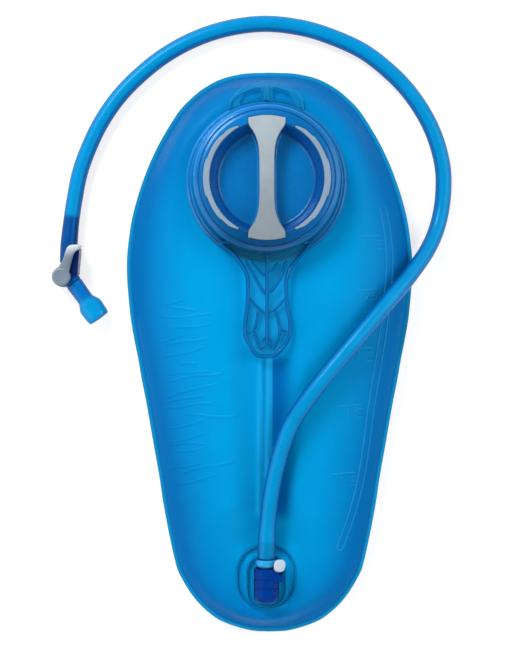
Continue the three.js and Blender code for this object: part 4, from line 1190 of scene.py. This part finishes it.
hous = made("latch_housing", *prism_data(
    resample(fillet([(OX + 4.0, -166.6), (OX + 12.2, -166.6), (OX + 12.2, -160.9), (OX + 8.6, -160.9), (OX + 8.6, -157.4), (OX + 4.0, -157.4)], 0.9, 5), 0.7),
    edge_rings(PLUG_Z - 8.0, PLUG_Z + 7.7, 0.5, 0.6)), merge=0)
bore = made("bore_cut", *lathe_data([(0, 0), (5.5, 0), (5.5, 40), (0, 40)], at(-170.5), AX, seg=64))
pocket = made("spring_pocket", *prism_data([(2.3, -165.9), (8.8, -165.9), (8.8, -161.45), (2.3, -161.45)], [(0, 36.7), (0, 41.3)]), merge=0)
slot_cut = made("plate_slot", *prism_data([(-1.0, -161.6), (5.65, -161.6), (5.65, -158.4), (-1.0, -158.4)], [(0, 31.9), (0, 46.0)]), merge=0)
cut(hous, bore, pocket, slot_cut)

# latch button: a pale cap that wraps from the side over the top
cap = []
for i in range(72):
    t = 2 * math.pi * i / 72
    c_, s_ = math.cos(t), math.sin(t)
    cx_, cy_ = 4.2 * abs(c_) ** 0.82 * math.copysign(1, c_), 4.6 * abs(s_) ** 0.82 * math.copysign(1, s_)
    cap.append((OX + 9.4 + cx_ + 0.35 * cy_ / 4.7, -154.2 + cy_))
cap = resample(cap, 0.5)
button = made("button_cap", *prism_data(cap, [(0.9, 47.5), (0.2, 47.8), (0, 48.3), (0.15, 48.9), (0.6, 49.5), (1.2, 49.95), (1.9, 50.25), (2.8, 50.4)]), merge=0, angle=60)
sidep = made("button_side", *prism_data(
    resample(fillet([(OX + 10.5, -156.4), (OX + 12.9, -156.4), (OX + 12.9, -152.2), (OX + 10.5, -152.2)], 1.1, 5), 0.7),
    edge_rings(PLUG_Z - 5.4, 49.0, 1.0, 0.6)), merge=0)
plate_o = []
for mid, a0 in ((1.85, -90), (0, 90)):
    for i in range(21):
        an = math.radians(a0 + i * 9)
        plate_o.append((mid + 5.35 * math.cos(an), 5.35 * math.sin(an)))
lp = resample([(-6.6, -3.5), (-4.6, -6.6), (7.9, -6.6), (7.9, 6.6), (-4.6, 6.6), (-6.6, 3.5)], 0.8)
v, f = prism_data(lp, [(0, 158.9), (0, 161.0)])
v = [(OX + a_, -c_, PLUG_Z + b_) for a_, b_, c_ in v]
latch = made("latch_plate", v, f, merge=0)
v, f = prism_data(resample(plate_o, 0.6), [(0, 157), (0, 163)])
v = [(OX + a_, -c_, PLUG_Z + b_) for a_, b_, c_ in v]
cut(latch, made("latch_hole", v, f, merge=0))

# plug on the hose's end
plug_prof = fillet(
    [(1.9, 0), (3.4, 0), (4.4, 0.8), (4.9, 1.4), (4.9, 2.0), (3.85, 2.2), (3.85, 3.6), (4.9, 3.8), (4.9, 6.6), (2.95, 6.8), (2.95, 9.9), (4.9, 10.1), (4.9, 10.9),
     (6.4, 11.15), (7.6, 12.2), (8.25, 13.8), (8.3, 16.2), (7.7, 17.0), (7.0, 17.2), (6.6, 16.6), (3.1, 16.6), (3.1, 19.4), (3.6, 19.5), (3.2, 22.0), (3.6, 22.1),
     (3.2, 24.6), (3.6, 24.7), (3.0, 28.0), (1.9, 28.0)],
    [0.2, 0.3, 0.4, 0.3, 0.15, 0.1, 0.1, 0.15, 0.2, 0.1, 0.1, 0.15, 0.1, 0.4, 1.2, 1.2, 0.6, 0.5, 0.3, 0.3, 0.1, 0.1, 0.1, 0.1, 0.1, 0.1, 0.1, 0.3, 0.2], 4)
plug = made("hose_plug_body", *lathe_data(plug_prof, at(-168.0), AX, seg=80), angle=45)

# ---- shut-off valve -----------------------------------------------------------------
mouth = np.array([-128.5, 25.2, VALVE_Z])
start = np.array([-148.8, 53.4, VALVE_Z])
dirv = mouth - start
dirv /= np.linalg.norm(dirv)
hose_end = np.array([-151.9, 66.6, VALVE_Z])
upv = np.array([0.45, 18, -0.45])
upv /= np.linalg.norm(upv)
barrel = made("valve_barrel", *lathe_data(fillet(
    [(0, 0.5), (6.6, 0.5), (7.4, 1.4), (7.4, 16.4), (6.9, 17.0), (5.0, 17.0), (5.0, 3.0), (0, 3.0)],
    [0, 0.6, 0.8, 0.8, 0.5, 0.4, 0.2, 0], 4), (VX, VY, 0), seg=72))
neck = made("valve_inlet", *lathe_data(fillet(
    [(0, -9.5), (5.4, -9.5), (5.4, -4), (6.6, -3.2), (6.75, -1.2), (6.1, -0.35), (3.0, -0.35), (3.0, 1.5), (3.4, 1.6), (3.0, 5.2), (3.4, 5.3), (3.0, 9.0),
     (3.4, 9.1), (2.9, 12.8), (3.2, 12.9), (2.7, 17), (0, 17)],
    [0, 0.2, 0.6, 0.7, 0.8, 0.4, 0.2, 0.1, 0.1, 0.1, 0.1, 0.1, 0.1, 0.1, 0.1, 0.3, 0], 4), hose_end, upv, seg=64))
spigot = made("valve_outlet", *lathe_data(fillet(
    [(0, -4), (3.6, -4), (3.6, 8), (4.0, 8.1), (3.5, 11.5), (3.6, 19.5), (3.1, 20), (0, 20)],
    [0, 0.2, 0.2, 0.1, 0.3, 0.2, 0.2, 0], 4), start, dirv, seg=56))
shoulder = made("valve_outlet_shoulder", *lathe_data(fillet(
    [(3.8, -4.6), (6.35, -4.6), (6.4, 1.45), (5.9, 1.75), (3.8, 1.75)], [0, 0.6, 0.5, 0.2, 0], 4), start, dirv, seg=64))
# a guard beside the lever: a block on the barrel, a wall past the hose's end and a tongue over it
block = [(-149.7, 54.2), (-150.2, 56.4), (-150.5, 58.8), (-152.0, 61.4), (-152.0, 66.0), (-143.6, 66.0), (-143.9, 58.8), (-146.4, 56.7)]
wall = [(-145.0, 64.6), (-144.9, 78.2), (-143.5, 79.0), (-142.5, 78.1), (-142.9, 72.0), (-143.55, 64.6)]
tongue_g = [(-149.7, 64.6), (-149.0, 71.0), (-147.3, 75.8), (-145.7, 78.1), (-143.5, 79.0), (-142.5, 78.1), (-142.9, 72.0), (-143.55, 64.6)]
gusset = made("valve_block", *prism_data(resample(fillet(block[::-1], 0.7, 5), 0.6), edge_rings(3.2, 16.9, 0.5, 0.9)), merge=0)
wall_g = made("valve_wall", *prism_data(resample(fillet(wall[::-1], 0.4, 4), 0.5), edge_rings(3.2, 16.8, 0.3, 0.3)), merge=0)
cover_g = made("valve_tongue", *prism_data(resample(fillet(tongue_g[::-1], 0.6, 4), 0.5), edge_rings(15.45, 16.95, 0.2, 0.5)), merge=0)
hole = made("spool_bore", *lathe_data([(0, 3.0), (5.0, 3.0), (5.0, 30), (0, 30)], (VX, VY, 0), seg=72))
cut(neck, hole)
fuse(wall_g, cover_g)

paddle = [(-161.0, 60.4), (-157.4, 64.2), (-156.0, 65.9), (-153.9, 70.2), (-151.9, 76.0), (-150.0, 79.2), (-146.0, 80.2), (-141.6, 80.1),
          (-140.0, 79.2), (-140.6, 77.9), (-143.2, 76.2), (-145.7, 74.0), (-147.1, 70.2), (-148.4, 65.8), (-149.4, 61.3), (-151.0, 56.6), (-156.0, 55.0)]
pad_o = resample(rounded_closed(paddle, 6), 0.8)


def pad_lift(x0, y0):
    # the paddle rises towards its tip
    return float(2.1 * smooth(64, 80, y0))


lever = made("lever_paddle", *prism_data(pad_o, [(0.9, 18.1), (0.25, 18.3), (0, 18.9), (0, 20.0), (0.25, 20.7), (0.8, 21.1), (1.7, 21.3)], pad_lift), merge=0, angle=60)
hub = made("lever_hub", *lathe_data(fillet(
    [(0, 17.4), (6.4, 17.4), (7.0, 18.0), (7.0, 20.6), (6.2, 21.7), (4.6, 21.95), (4.4, 21.6), (0, 21.6)], [0, 0.4, 0.5, 1.2, 1.0, 0.2, 0.2, 0], 4),
    (VX, VY, 0), seg=80), angle=55)

# ---- bite valve -------------------------------------------------------------------
side = np.array([-dirv[1], dirv[0], 0])
rings = []
for sd, a_, b_ in ((2.05, 5.9, 5.9), (2.3, 6.25, 6.25), (2.8, 6.42, 6.42), (8, 6.3, 6.35), (13.5, 6.1, 6.2), (15.6, 6.08, 6.2), (17.0, 6.2, 6.2), (18.2, 6.6, 6.45),
                   (19.6, 7.4, 6.95), (21.2, 8.35, 7.1), (22.8, 8.95, 7.1), (24.6, 9.15, 7.1), (28, 9.05, 7.1), (31, 8.85, 7.1), (33.2, 8.6, 7.0), (34.2, 8.25, 6.7), (34.7, 7.6, 6.0)):
    ring = []
    for i in range(64):
        t = 2 * math.pi * i / 64
        ring.append(start + dirv * sd + side * a_ * math.cos(t) + np.array([0, 0, b_ * math.sin(t)]))
    rings.append(ring)
# the slit lies in a shallow dish in the mouth's face
for sd, k in ((34.6, 0.80), (34.1, 0.62), (33.9, 0.3)):
    rings.append([start + dirv * sd + side * 7.6 * k * math.cos(2 * math.pi * i / 64) + np.array([0, 0, 6.0 * k * math.sin(2 * math.pi * i / 64)]) for i in range(64)])
bite = made("bite_sleeve", *loft_data(rings), merge=0, angle=70)
sl = made("slit_cut", *prism_data([tuple((start + dirv * p + side * q)[:2]) for p, q in ((27, -4.4), (27, 4.4), (40, 4.4), (40, -4.4))], [(0, VALVE_Z - 0.2), (0, VALVE_Z + 0.2)]), merge=0)
inner_bore = made("bite_bore", *lathe_data([(0, -1), (4.3, -1), (4.3, 21), (0, 21)], start, dirv, seg=48))
cut(bite, inner_bore, sl)


# ---- finishes ---------------------------------------------------------------------
def lean(ob, low, high):
    """For each face corner, 0 on level faces and rounded tops, up to 1 where the surface stands up."""
    me = ob.data
    n = np.abs(normals(ob)[:, 2])
    t = 1 - smooth(low, high, n)
    vi = np.zeros(len(me.loops), np.int32)
    me.loops.foreach_get("vertex_index", vi)
    out = t[vi]
    for f in me.polygons:
        if abs(f.normal.z) > 0.985:
            out[f.loop_start:f.loop_start + f.loop_total] = 0
    return out


def steepness(ob, low=0.35, high=0.93):
    """How far each point leans away from level, for clear plastic that is darkest where it is seen through its depth."""
    a_ = ob.data.attributes.new("steep", "FLOAT", "CORNER")
    a_.data.foreach_set("value", lean(ob, low, high).astype(np.float32))


def tinted(ob, flat_rgb, steep_rgb, low=0.35, high=0.93, shade=None):
    t = lean(ob, low, high)[:, None]
    rgb = flat_rgb * (1 - t) + steep_rgb * t
    if shade is not None:
        vi = np.zeros(len(ob.data.loops), np.int32)
        ob.data.loops.foreach_get("vertex_index", vi)
        rgb = rgb * shade[vi][:, None]
    layer = ob.data.color_attributes.new("tint", "FLOAT_COLOR", "CORNER")
    buf = np.ones((len(rgb), 4), np.float32)
    buf[:, :3] = rgb
    layer.data.foreach_set("color", buf.ravel())


FILM_MAT = material("film_clear_blue", (0, 0, 0), rough=0.33, attr="tint", vary=0.035, vary_scale=24, rough_vary=0.06, rough_scale=60,
                    bump=0.22, bump_scale=420, bump_mm=0.05, bump2=(70, 0.30, 0.35, 0.6), spec=0.5, ior=1.11, tint=(0.5, 0.8, 1.0))
BACK_MAT = material("film_blue", (0, 0, 0), rough=0.36, attr="tint", vary=0.04, vary_scale=20, rough_vary=0.06, rough_scale=50,
                    bump=0.22, bump_scale=420, bump_mm=0.05, bump2=(60, 0.30, 0.35, 0.6), spec=0.5, ior=1.11, tint=(0.5, 0.8, 1.0))
BAFFLE_MAT = material("film_inner", seen(20, 140, 215), rough=0.4, vary=0.06, vary_scale=90, bump=0.3, bump_scale=500, coat=0.05, spec=0.35)
CLEAR = material("port_clear_blue", (0, 0, 0), rough=0.13, attr="tint", vary=0.05, vary_scale=70, rough_vary=0.05, rough_scale=160,
                 bump=0.10, bump_scale=700, bump_mm=0.03, bump2=(120, 0.20, 0.2, 0.4), spec=0.5, ior=1.35, tint=(0.4, 0.8, 1.0), coat=0.35, coat_rough=0.08, alpha=0.08, edge_alpha=0.96)
CLEAR_THIN = material("port_clear_thin", (0, 0, 0), rough=0.13, attr="tint", vary=0.05, vary_scale=70, rough_vary=0.05, rough_scale=160,
                      bump=0.10, bump_scale=700, bump_mm=0.03, bump2=(120, 0.20, 0.2, 0.4), spec=0.4, ior=1.2, tint=(0.1, 0.6, 1.0), alpha=0.01, edge_alpha=0.75)
CLEAR_RIB = material("port_clear_rib", (0, 0, 0), rough=0.16, attr="tint", vary=0.05, vary_scale=70, rough_vary=0.05, rough_scale=160,
                     bump=0.12, bump_scale=600, bump_mm=0.04, bump2=(120, 0.25, 0.2, 0.4), spec=0.5, ior=1.3, tint=(0.1, 0.7, 1.0), coat=0.16, coat_rough=0.05, alpha=0.72, edge_alpha=0.95)
CLEAR_RING = material("port_clear_ring", (0, 0, 0), rough=0.2, attr="tint", vary=0.05, vary_scale=70, rough_vary=0.05, rough_scale=160,
                      bump=0.10, bump_scale=700, bump_mm=0.03, bump2=(120, 0.20, 0.2, 0.4), spec=0.45, tint=(0.2, 0.6, 1.0), coat=0.4, coat_rough=0.12, alpha=0.94, edge_alpha=0.96)
LID_MAT = material("lid_blue", (0, 0, 0), rough=0.30, attr="tint", vary=0.05, vary_scale=45, rough_vary=0.06, rough_scale=140,
                   bump=0.16, bump_scale=900, bump_mm=0.03, bump2=(150, 0.12, 0.15, 0.3), coat=0.34, coat_rough=0.16, spec=0.5, ior=1.35, tint=(0.2, 0.6, 1.0))
GRIP = material("grip_grey", (0, 0, 0), attr="tint", rough=0.62, vary=0.05, vary_scale=80, rough_vary=0.08, rough_scale=300,
                bump=0.45, bump_scale=1500, bump_mm=0.06, bump2=(260, 0.15, 0.12, 0.0), coat=0.0, spec=0.3, sheen=0.05)
SEAL = material("seal_silicone", seen(150, 190, 215), rough=0.5, vary=0.05, vary_scale=120, bump=0.3, bump_scale=800, spec=0.4)
NAVY = material("fitting_navy", (0, 0, 0), rough=0.24, attr="tint", vary=0.08, vary_scale=110, rough_vary=0.07, rough_scale=260,
                bump=0.25, bump_scale=900, bump_mm=0.04, bump2=(240, 0.2, 0.15, 0.2), spec=0.5, ior=1.2, tint=(0.2, 0.5, 1.0))
PALE = material("button_pale", seen(196, 214, 232), rough=0.38, vary=0.04, vary_scale=150, rough_vary=0.08, rough_scale=400,
                bump=0.3, bump_scale=1400, bump_mm=0.04, coat=0.15, coat_rough=0.2, spec=0.45)
STEEL = material("spring_steel", (0.56, 0.56, 0.58), rough=0.3, vary=0.1, vary_scale=500, rough_vary=0.1, rough_scale=900, bump=0.3, bump_scale=2500,
                 bump_mm=0.02, metal=1.0, stretch=(1, 1, 6))
POPPET = material("poppet_blue", seen(50, 100, 180), rough=0.45, vary=0.06, vary_scale=200, bump=0.3, bump_scale=1200)
BLACK = material("seal_black", (0.018, 0.018, 0.022), rough=0.48, vary=0.25, vary_scale=300, bump=0.4, bump_scale=1500, spec=0.4)
PLUG = material("plug_light_blue", (0, 0, 0), rough=0.2, attr="tint", vary=0.05, vary_scale=130, rough_vary=0.06, rough_scale=260,
                bump=0.2, bump_scale=900, bump_mm=0.03, coat=0.08, coat_rough=0.1, spec=0.55, tint=(0.3, 0.7, 1.0))
HOSE_MAT = material("hose_blue", (0, 0, 0), rough=0.24, attr="tint", vary=0.05, vary_scale=60, rough_vary=0.05, rough_scale=180,
                    bump=0.14, bump_scale=600, bump_mm=0.04, bump2=(90, 0.15, 0.2, 0.2), spec=0.5, ior=1.3, tint=(0.3, 0.7, 1.0))
WHITE = material("spool_white", seen(215, 220, 226), rough=0.4, vary=0.04, vary_scale=200, bump=0.25, bump_scale=1400)
LEVER = material("lever_grey", (0, 0, 0), rough=0.36, attr="tint", vary=0.06, vary_scale=120, rough_vary=0.08, rough_scale=380,
                 bump=0.35, bump_scale=1500, bump_mm=0.04, coat=0.2, coat_rough=0.2, spec=0.5)
SILICONE = material("silicone_blue", (0, 0, 0), rough=0.34, attr="tint", vary=0.06, vary_scale=110, rough_vary=0.08, rough_scale=260,
                    bump=0.3, bump_scale=1000, bump_mm=0.05, bump2=(300, 0.2, 0.12, 0.3), spec=0.5, ior=1.22, tint=(0.1, 0.6, 1.0), coat=0.22, coat_rough=0.09,
                    sub=0.06, sub_radius=(0.0006, 0.0018, 0.004))

wear(front, FILM_MAT, "reservoir", "film_clear_blue", "front_film")
wear(film_marks, FILM_MAT, "reservoir", "film_clear_blue")
wear(back, BACK_MAT, "reservoir", "film_blue", "back_film")
wear(baffle, BAFFLE_MAT, "reservoir", "film_inner", "centre_baffle")

def turned_shade(co):
    """Painted light and shade for a clear rim: brighter on the side towards the key lamp, deepest at the foot."""
    a_ = np.arctan2(co[:, 1] - NY, co[:, 0] - NX)
    return 0.92 + 0.40 * np.maximum(0, np.cos(a_ - 2.3)) ** 2 - 0.50 * np.maximum(0, np.cos(a_ + 1.66)) ** 3


clear_flat, clear_deep = seen(50, 205, 255), seen(0, 78, 150)
tinted(handle_ribs, seen(0, 118, 190), seen(0, 70, 146), 0.25, 0.85)
steepness(handle_ribs, 0.35, 0.9)
tinted(outlet_lines, seen(4, 136, 205), seen(0, 98, 170), 0.25, 0.85)
steepness(outlet_lines, 0.35, 0.9)
for ob, deep in ((port_handle, clear_deep), (tab, clear_deep), (tab_rib, clear_deep), (outlet, seen(0, 112, 182))):
    tinted(ob, clear_flat, deep, 0.5, 0.97)
    steepness(ob, 0.5, 0.97)
# the flange ring: painted light and shade round it from turned_shade, and deeper on its steep faces
tinted(port_neck, seen(12, 122, 194), seen(8, 108, 178), shade=turned_shade(coords(port_neck)))
steepness(port_neck)
wear(port_neck, CLEAR_RING, "reservoir", "port_clear_blue", "fill_port")
wear(port_handle, CLEAR, "reservoir", "port_clear_blue", "fill_port")
wear(handle_ribs, CLEAR_RIB, "reservoir", "port_clear_blue", "fill_port")
wear(tab, CLEAR, "reservoir", "port_clear_blue", "fill_port")
wear(tab_rib, CLEAR, "reservoir", "port_clear_blue", "fill_port")
wear(outlet, CLEAR_THIN, "reservoir", "port_clear_blue", "outlet_port")
wear(outlet_lines, CLEAR_RIB, "reservoir", "port_clear_blue", "outlet_port")

# the lid: paler floors in the wells and painted shade on the well walls; the skirt is painted paler outwards to lift
# the shadow in the gap above the flange; painted shade in the groove on the rim
co = coords(lid)
r = np.hypot(co[:, 0] - NX, co[:, 1] - NY)
ring_c, wall_c, floor_c, skirt_c = seen(8, 108, 180), seen(4, 84, 160), seen(4, 128, 204), seen(8, 126, 196)
rgb = np.zeros((len(co), 3))
t_floor = ((r < 36.5) & (co[:, 2] < 50.2))[:, None]
t_wall = smooth(34.8, 36.2, r) * (1 - smooth(39.8, 41.0, r))
rgb[:] = ring_c
rgb = np.where((r < 41.2)[:, None], wall_c, rgb)
k = (1 - smooth(33.6, 35.6, r))[:, None]
rgb = np.where((r < 41.2)[:, None], wall_c * (1 - k) + floor_c * k, rgb)
out_t = smooth(50.2, 52.8, r)[:, None]
rgb = rgb * (1 - out_t) + skirt_c * out_t
groove = np.exp(-(((r - (LID_R - 4.15)) / 0.55) ** 2))[:, None]
rgb = rgb * (1 - 0.22 * groove)
# painted light and shade round the rim from turned_shade
rgb = rgb * np.where(r > 41.2, turned_shade(co), 1.0)[:, None]
paint(lid, "tint", rgb)
wear(lid, LID_MAT, "lid", "lid_blue", "lid_body")
# the web: painted shade, deepening up its walls from the well floors
co = coords(web)
hz = smooth(48.8, 51.5, co[:, 2])[:, None]
paint(web, "tint", floor_c * (1 - hz) + seen(4, 62, 134) * hz)
wear(web, LID_MAT, "lid", "lid_blue", "lid_body")
# the grip bar: painted light, paler towards the lid's head, and painted shade on its sloping edges
co = coords(bar)
k = smooth(-42, 44, co[:, 1] - NY)[:, None]
edge_k = (0.78 + 0.22 * smooth(0.5, 0.97, normals(bar)[:, 2]))[:, None]
paint(bar, "tint", (seen(136, 148, 158) * (1 - k) + seen(168, 182, 191) * k) * edge_k)
# the grip arcs: painted shade on their sloping sides
for ob in (arc_r, arc_l):
    paint(ob, "tint", seen(136, 160, 184) * (0.7 + 0.3 * smooth(0.5, 0.97, normals(ob)[:, 2]))[:, None])
wear(bar, GRIP, "lid", "grip_grey", "lid_grip_bar")
wear(arc_r, GRIP, "lid", "grip_grey", "lid_grip_arc_right")
wear(arc_l, GRIP, "lid", "grip_grey", "lid_grip_arc_left")

# painted shade: steep faces of the navy fittings are painted deeper than level ones
navy_a, navy_b = seen(8, 62, 148), seen(2, 34, 104)
for ob in (sock, blk, hous, barrel):
    tinted(ob, navy_a, navy_b, 0.2, 0.98)
for ob in (sock, blk, hous):
    wear(ob, NAVY, "reservoir", "fitting_navy", "outlet_socket")
wear(button, PALE, "latch", "button_pale", "release_button")
wear(sidep, PALE, "latch", "button_pale", "release_button")
wear(latch, PALE, "latch", "button_pale", "release_button")
# painted light and shade: the plug is painted pale on its level faces and deeper on its sides
tinted(plug, seen(45, 168, 228), seen(4, 100, 180), 0.1, 0.9)
wear(plug, PLUG, "hose_line", "plug_light_blue", "hose_plug")
wear(hose, HOSE_MAT, "hose_line", "hose_blue", "hose")
# painted shade on the steep faces of the valve body
for ob in (neck, gusset, wall_g, spigot):
    tinted(ob, seen(30, 44, 108), seen(10, 40, 108), 0.2, 0.98)
    wear(ob, NAVY, "hose_line", "fitting_navy", "valve_body")
wear(barrel, NAVY, "hose_line", "fitting_navy", "valve_body")
# the lever: painted highlight towards the paddle's tip and painted shade on faces that turn from level; the hub gets
# the same painted shade
co = coords(lever)
t = smooth(70, 79.5, co[:, 1])[:, None]
nz = smooth(0.2, 0.95, normals(lever)[:, 2])[:, None]
paint(lever, "tint", (seen(122, 138, 154) * (1 - t) + seen(214, 222, 230) * t) * (0.62 + 0.38 * nz))
paint(hub, "tint", seen(126, 142, 158) * (0.62 + 0.38 * smooth(0.2, 0.95, normals(hub)[:, 2])[:, None]))
wear(lever, LEVER, "shutoff", "lever_grey", "valve_lever")
wear(hub, LEVER, "shutoff", "lever_grey", "valve_lever")
# the bite valve: the flare is painted paler than the stem, and faces that turn from level are painted deeper, a painted
# shade on its sides
co = coords(bite) - start
sd = co @ dirv
tb = smooth(15, 21, sd)[:, None]
nz = smooth(0.10, 0.98, np.abs(normals(bite)[:, 2]))[:, None]
rgb = seen(4, 118, 198) * (1 - tb) + seen(8, 154, 220) * tb
low_rgb = seen(2, 82, 158) * (1 - tb) + seen(3, 112, 182) * tb
paint(bite, "tint", rgb * nz + low_rgb * (1 - nz))
# painted shade on the shoulder's sides and underside
nz = smooth(-0.1, 0.95, normals(shoulder)[:, 2])[:, None]
paint(shoulder, "tint", seen(8, 104, 184) * nz + seen(0, 60, 132) * (1 - nz))
wear(shoulder, SILICONE, "hose_line", "fitting_navy", "valve_body")
wear(bite, SILICONE, "mouthpiece", "silicone_blue", "bite_valve")

for node, mat in (("lid_seal", SEAL), ("button_spring", STEEL), ("socket_poppet", POPPET), ("poppet_seal", BLACK), ("poppet_spring", STEEL),
                  ("plug_seal", BLACK), ("valve_spool", WHITE), ("spool_seal_lower", BLACK), ("spool_seal_upper", BLACK)):
    ob = NODES[node]
    if not ob.data.materials:
        ob.data.materials.append(mat)
    for i in range(len(ob.data.materials)):
        ob.data.materials[i] = mat

# ---- floor, lights ------------------------------------------------------------------
fm = material("floor", (0.42, 0.42, 0.42), rough=0.75, vary=0.006, vary_scale=4, rough_vary=0.05, rough_scale=8, bump=0.03, bump_scale=200, spec=0.15)
me = bpy.data.meshes.new("floor")
n = 12
vs = [(6.0 * (i / n - 0.5), 6.0 * (j / n - 0.5), -0.0004) for j in range(n + 1) for i in range(n + 1)]
fs = [[j * (n + 1) + i, j * (n + 1) + i + 1, (j + 1) * (n + 1) + i + 1, (j + 1) * (n + 1) + i] for j in range(n) for i in range(n)]
me.from_pydata(vs, [], fs)
floor = bpy.data.objects.new("floor", me)
scene.collection.objects.link(floor)
me.materials.append(fm)
fp = [nd for nd in fm.node_tree.nodes if nd.type == "BSDF_PRINCIPLED"][0]
fp.inputs["Emission Color"].default_value = (1, 1, 1, 1)
fp.inputs["Emission Strength"].default_value = 0.68

world = bpy.data.worlds.new("world")
scene.world = world
world.use_nodes = True
bg = world.node_tree.nodes["Background"]
bg.inputs[0].default_value = (1, 1, 1, 1)
# a studio dome: bright walls, a dimmer ceiling
sky = world.node_tree.nodes.new("ShaderNodeTexCoord")
split = world.node_tree.nodes.new("ShaderNodeSeparateXYZ")
fall = world.node_tree.nodes.new("ShaderNodeMapRange")
fall.interpolation_type = "SMOOTHSTEP"
fall.inputs["From Min"].default_value = 0.25
fall.inputs["From Max"].default_value = 0.97
fall.inputs["To Min"].default_value = 0.75
fall.inputs["To Max"].default_value = 0.16
world.node_tree.links.new(sky.outputs["Generated"], split.inputs[0])
world.node_tree.links.new(split.outputs["Z"], fall.inputs["Value"])
world.node_tree.links.new(fall.outputs[0], bg.inputs[1])


def area(name, loc, size, power, target=(-0.01, 0.01, 0.02), size_y=None, color=(1, 1, 1)):
    d = bpy.data.lights.new(name, "AREA")
    d.energy = power
    d.shape = "RECTANGLE"
    d.size = size
    d.size_y = size_y or size
    d.color = color
    o = bpy.data.objects.new(name, d)
    o.location = loc
    o.rotation_euler = (Vector(target) - Vector(loc)).to_track_quat("-Z", "Y").to_euler()
    scene.collection.objects.link(o)


area("key", (-0.60, 0.90, 1.0), 0.5, 12.0)
area("fill_right", (1.15, 0.25, 0.95), 1.1, 10.6)
area("fill_left", (-1.25, -0.3, 0.9), 1.1, 6.5)
area("fill_foot", (0.15, -1.3, 1.0), 1.1, 6.0)
area("fill_head", (-0.80, 1.0, 0.9), 0.9, 3.4)
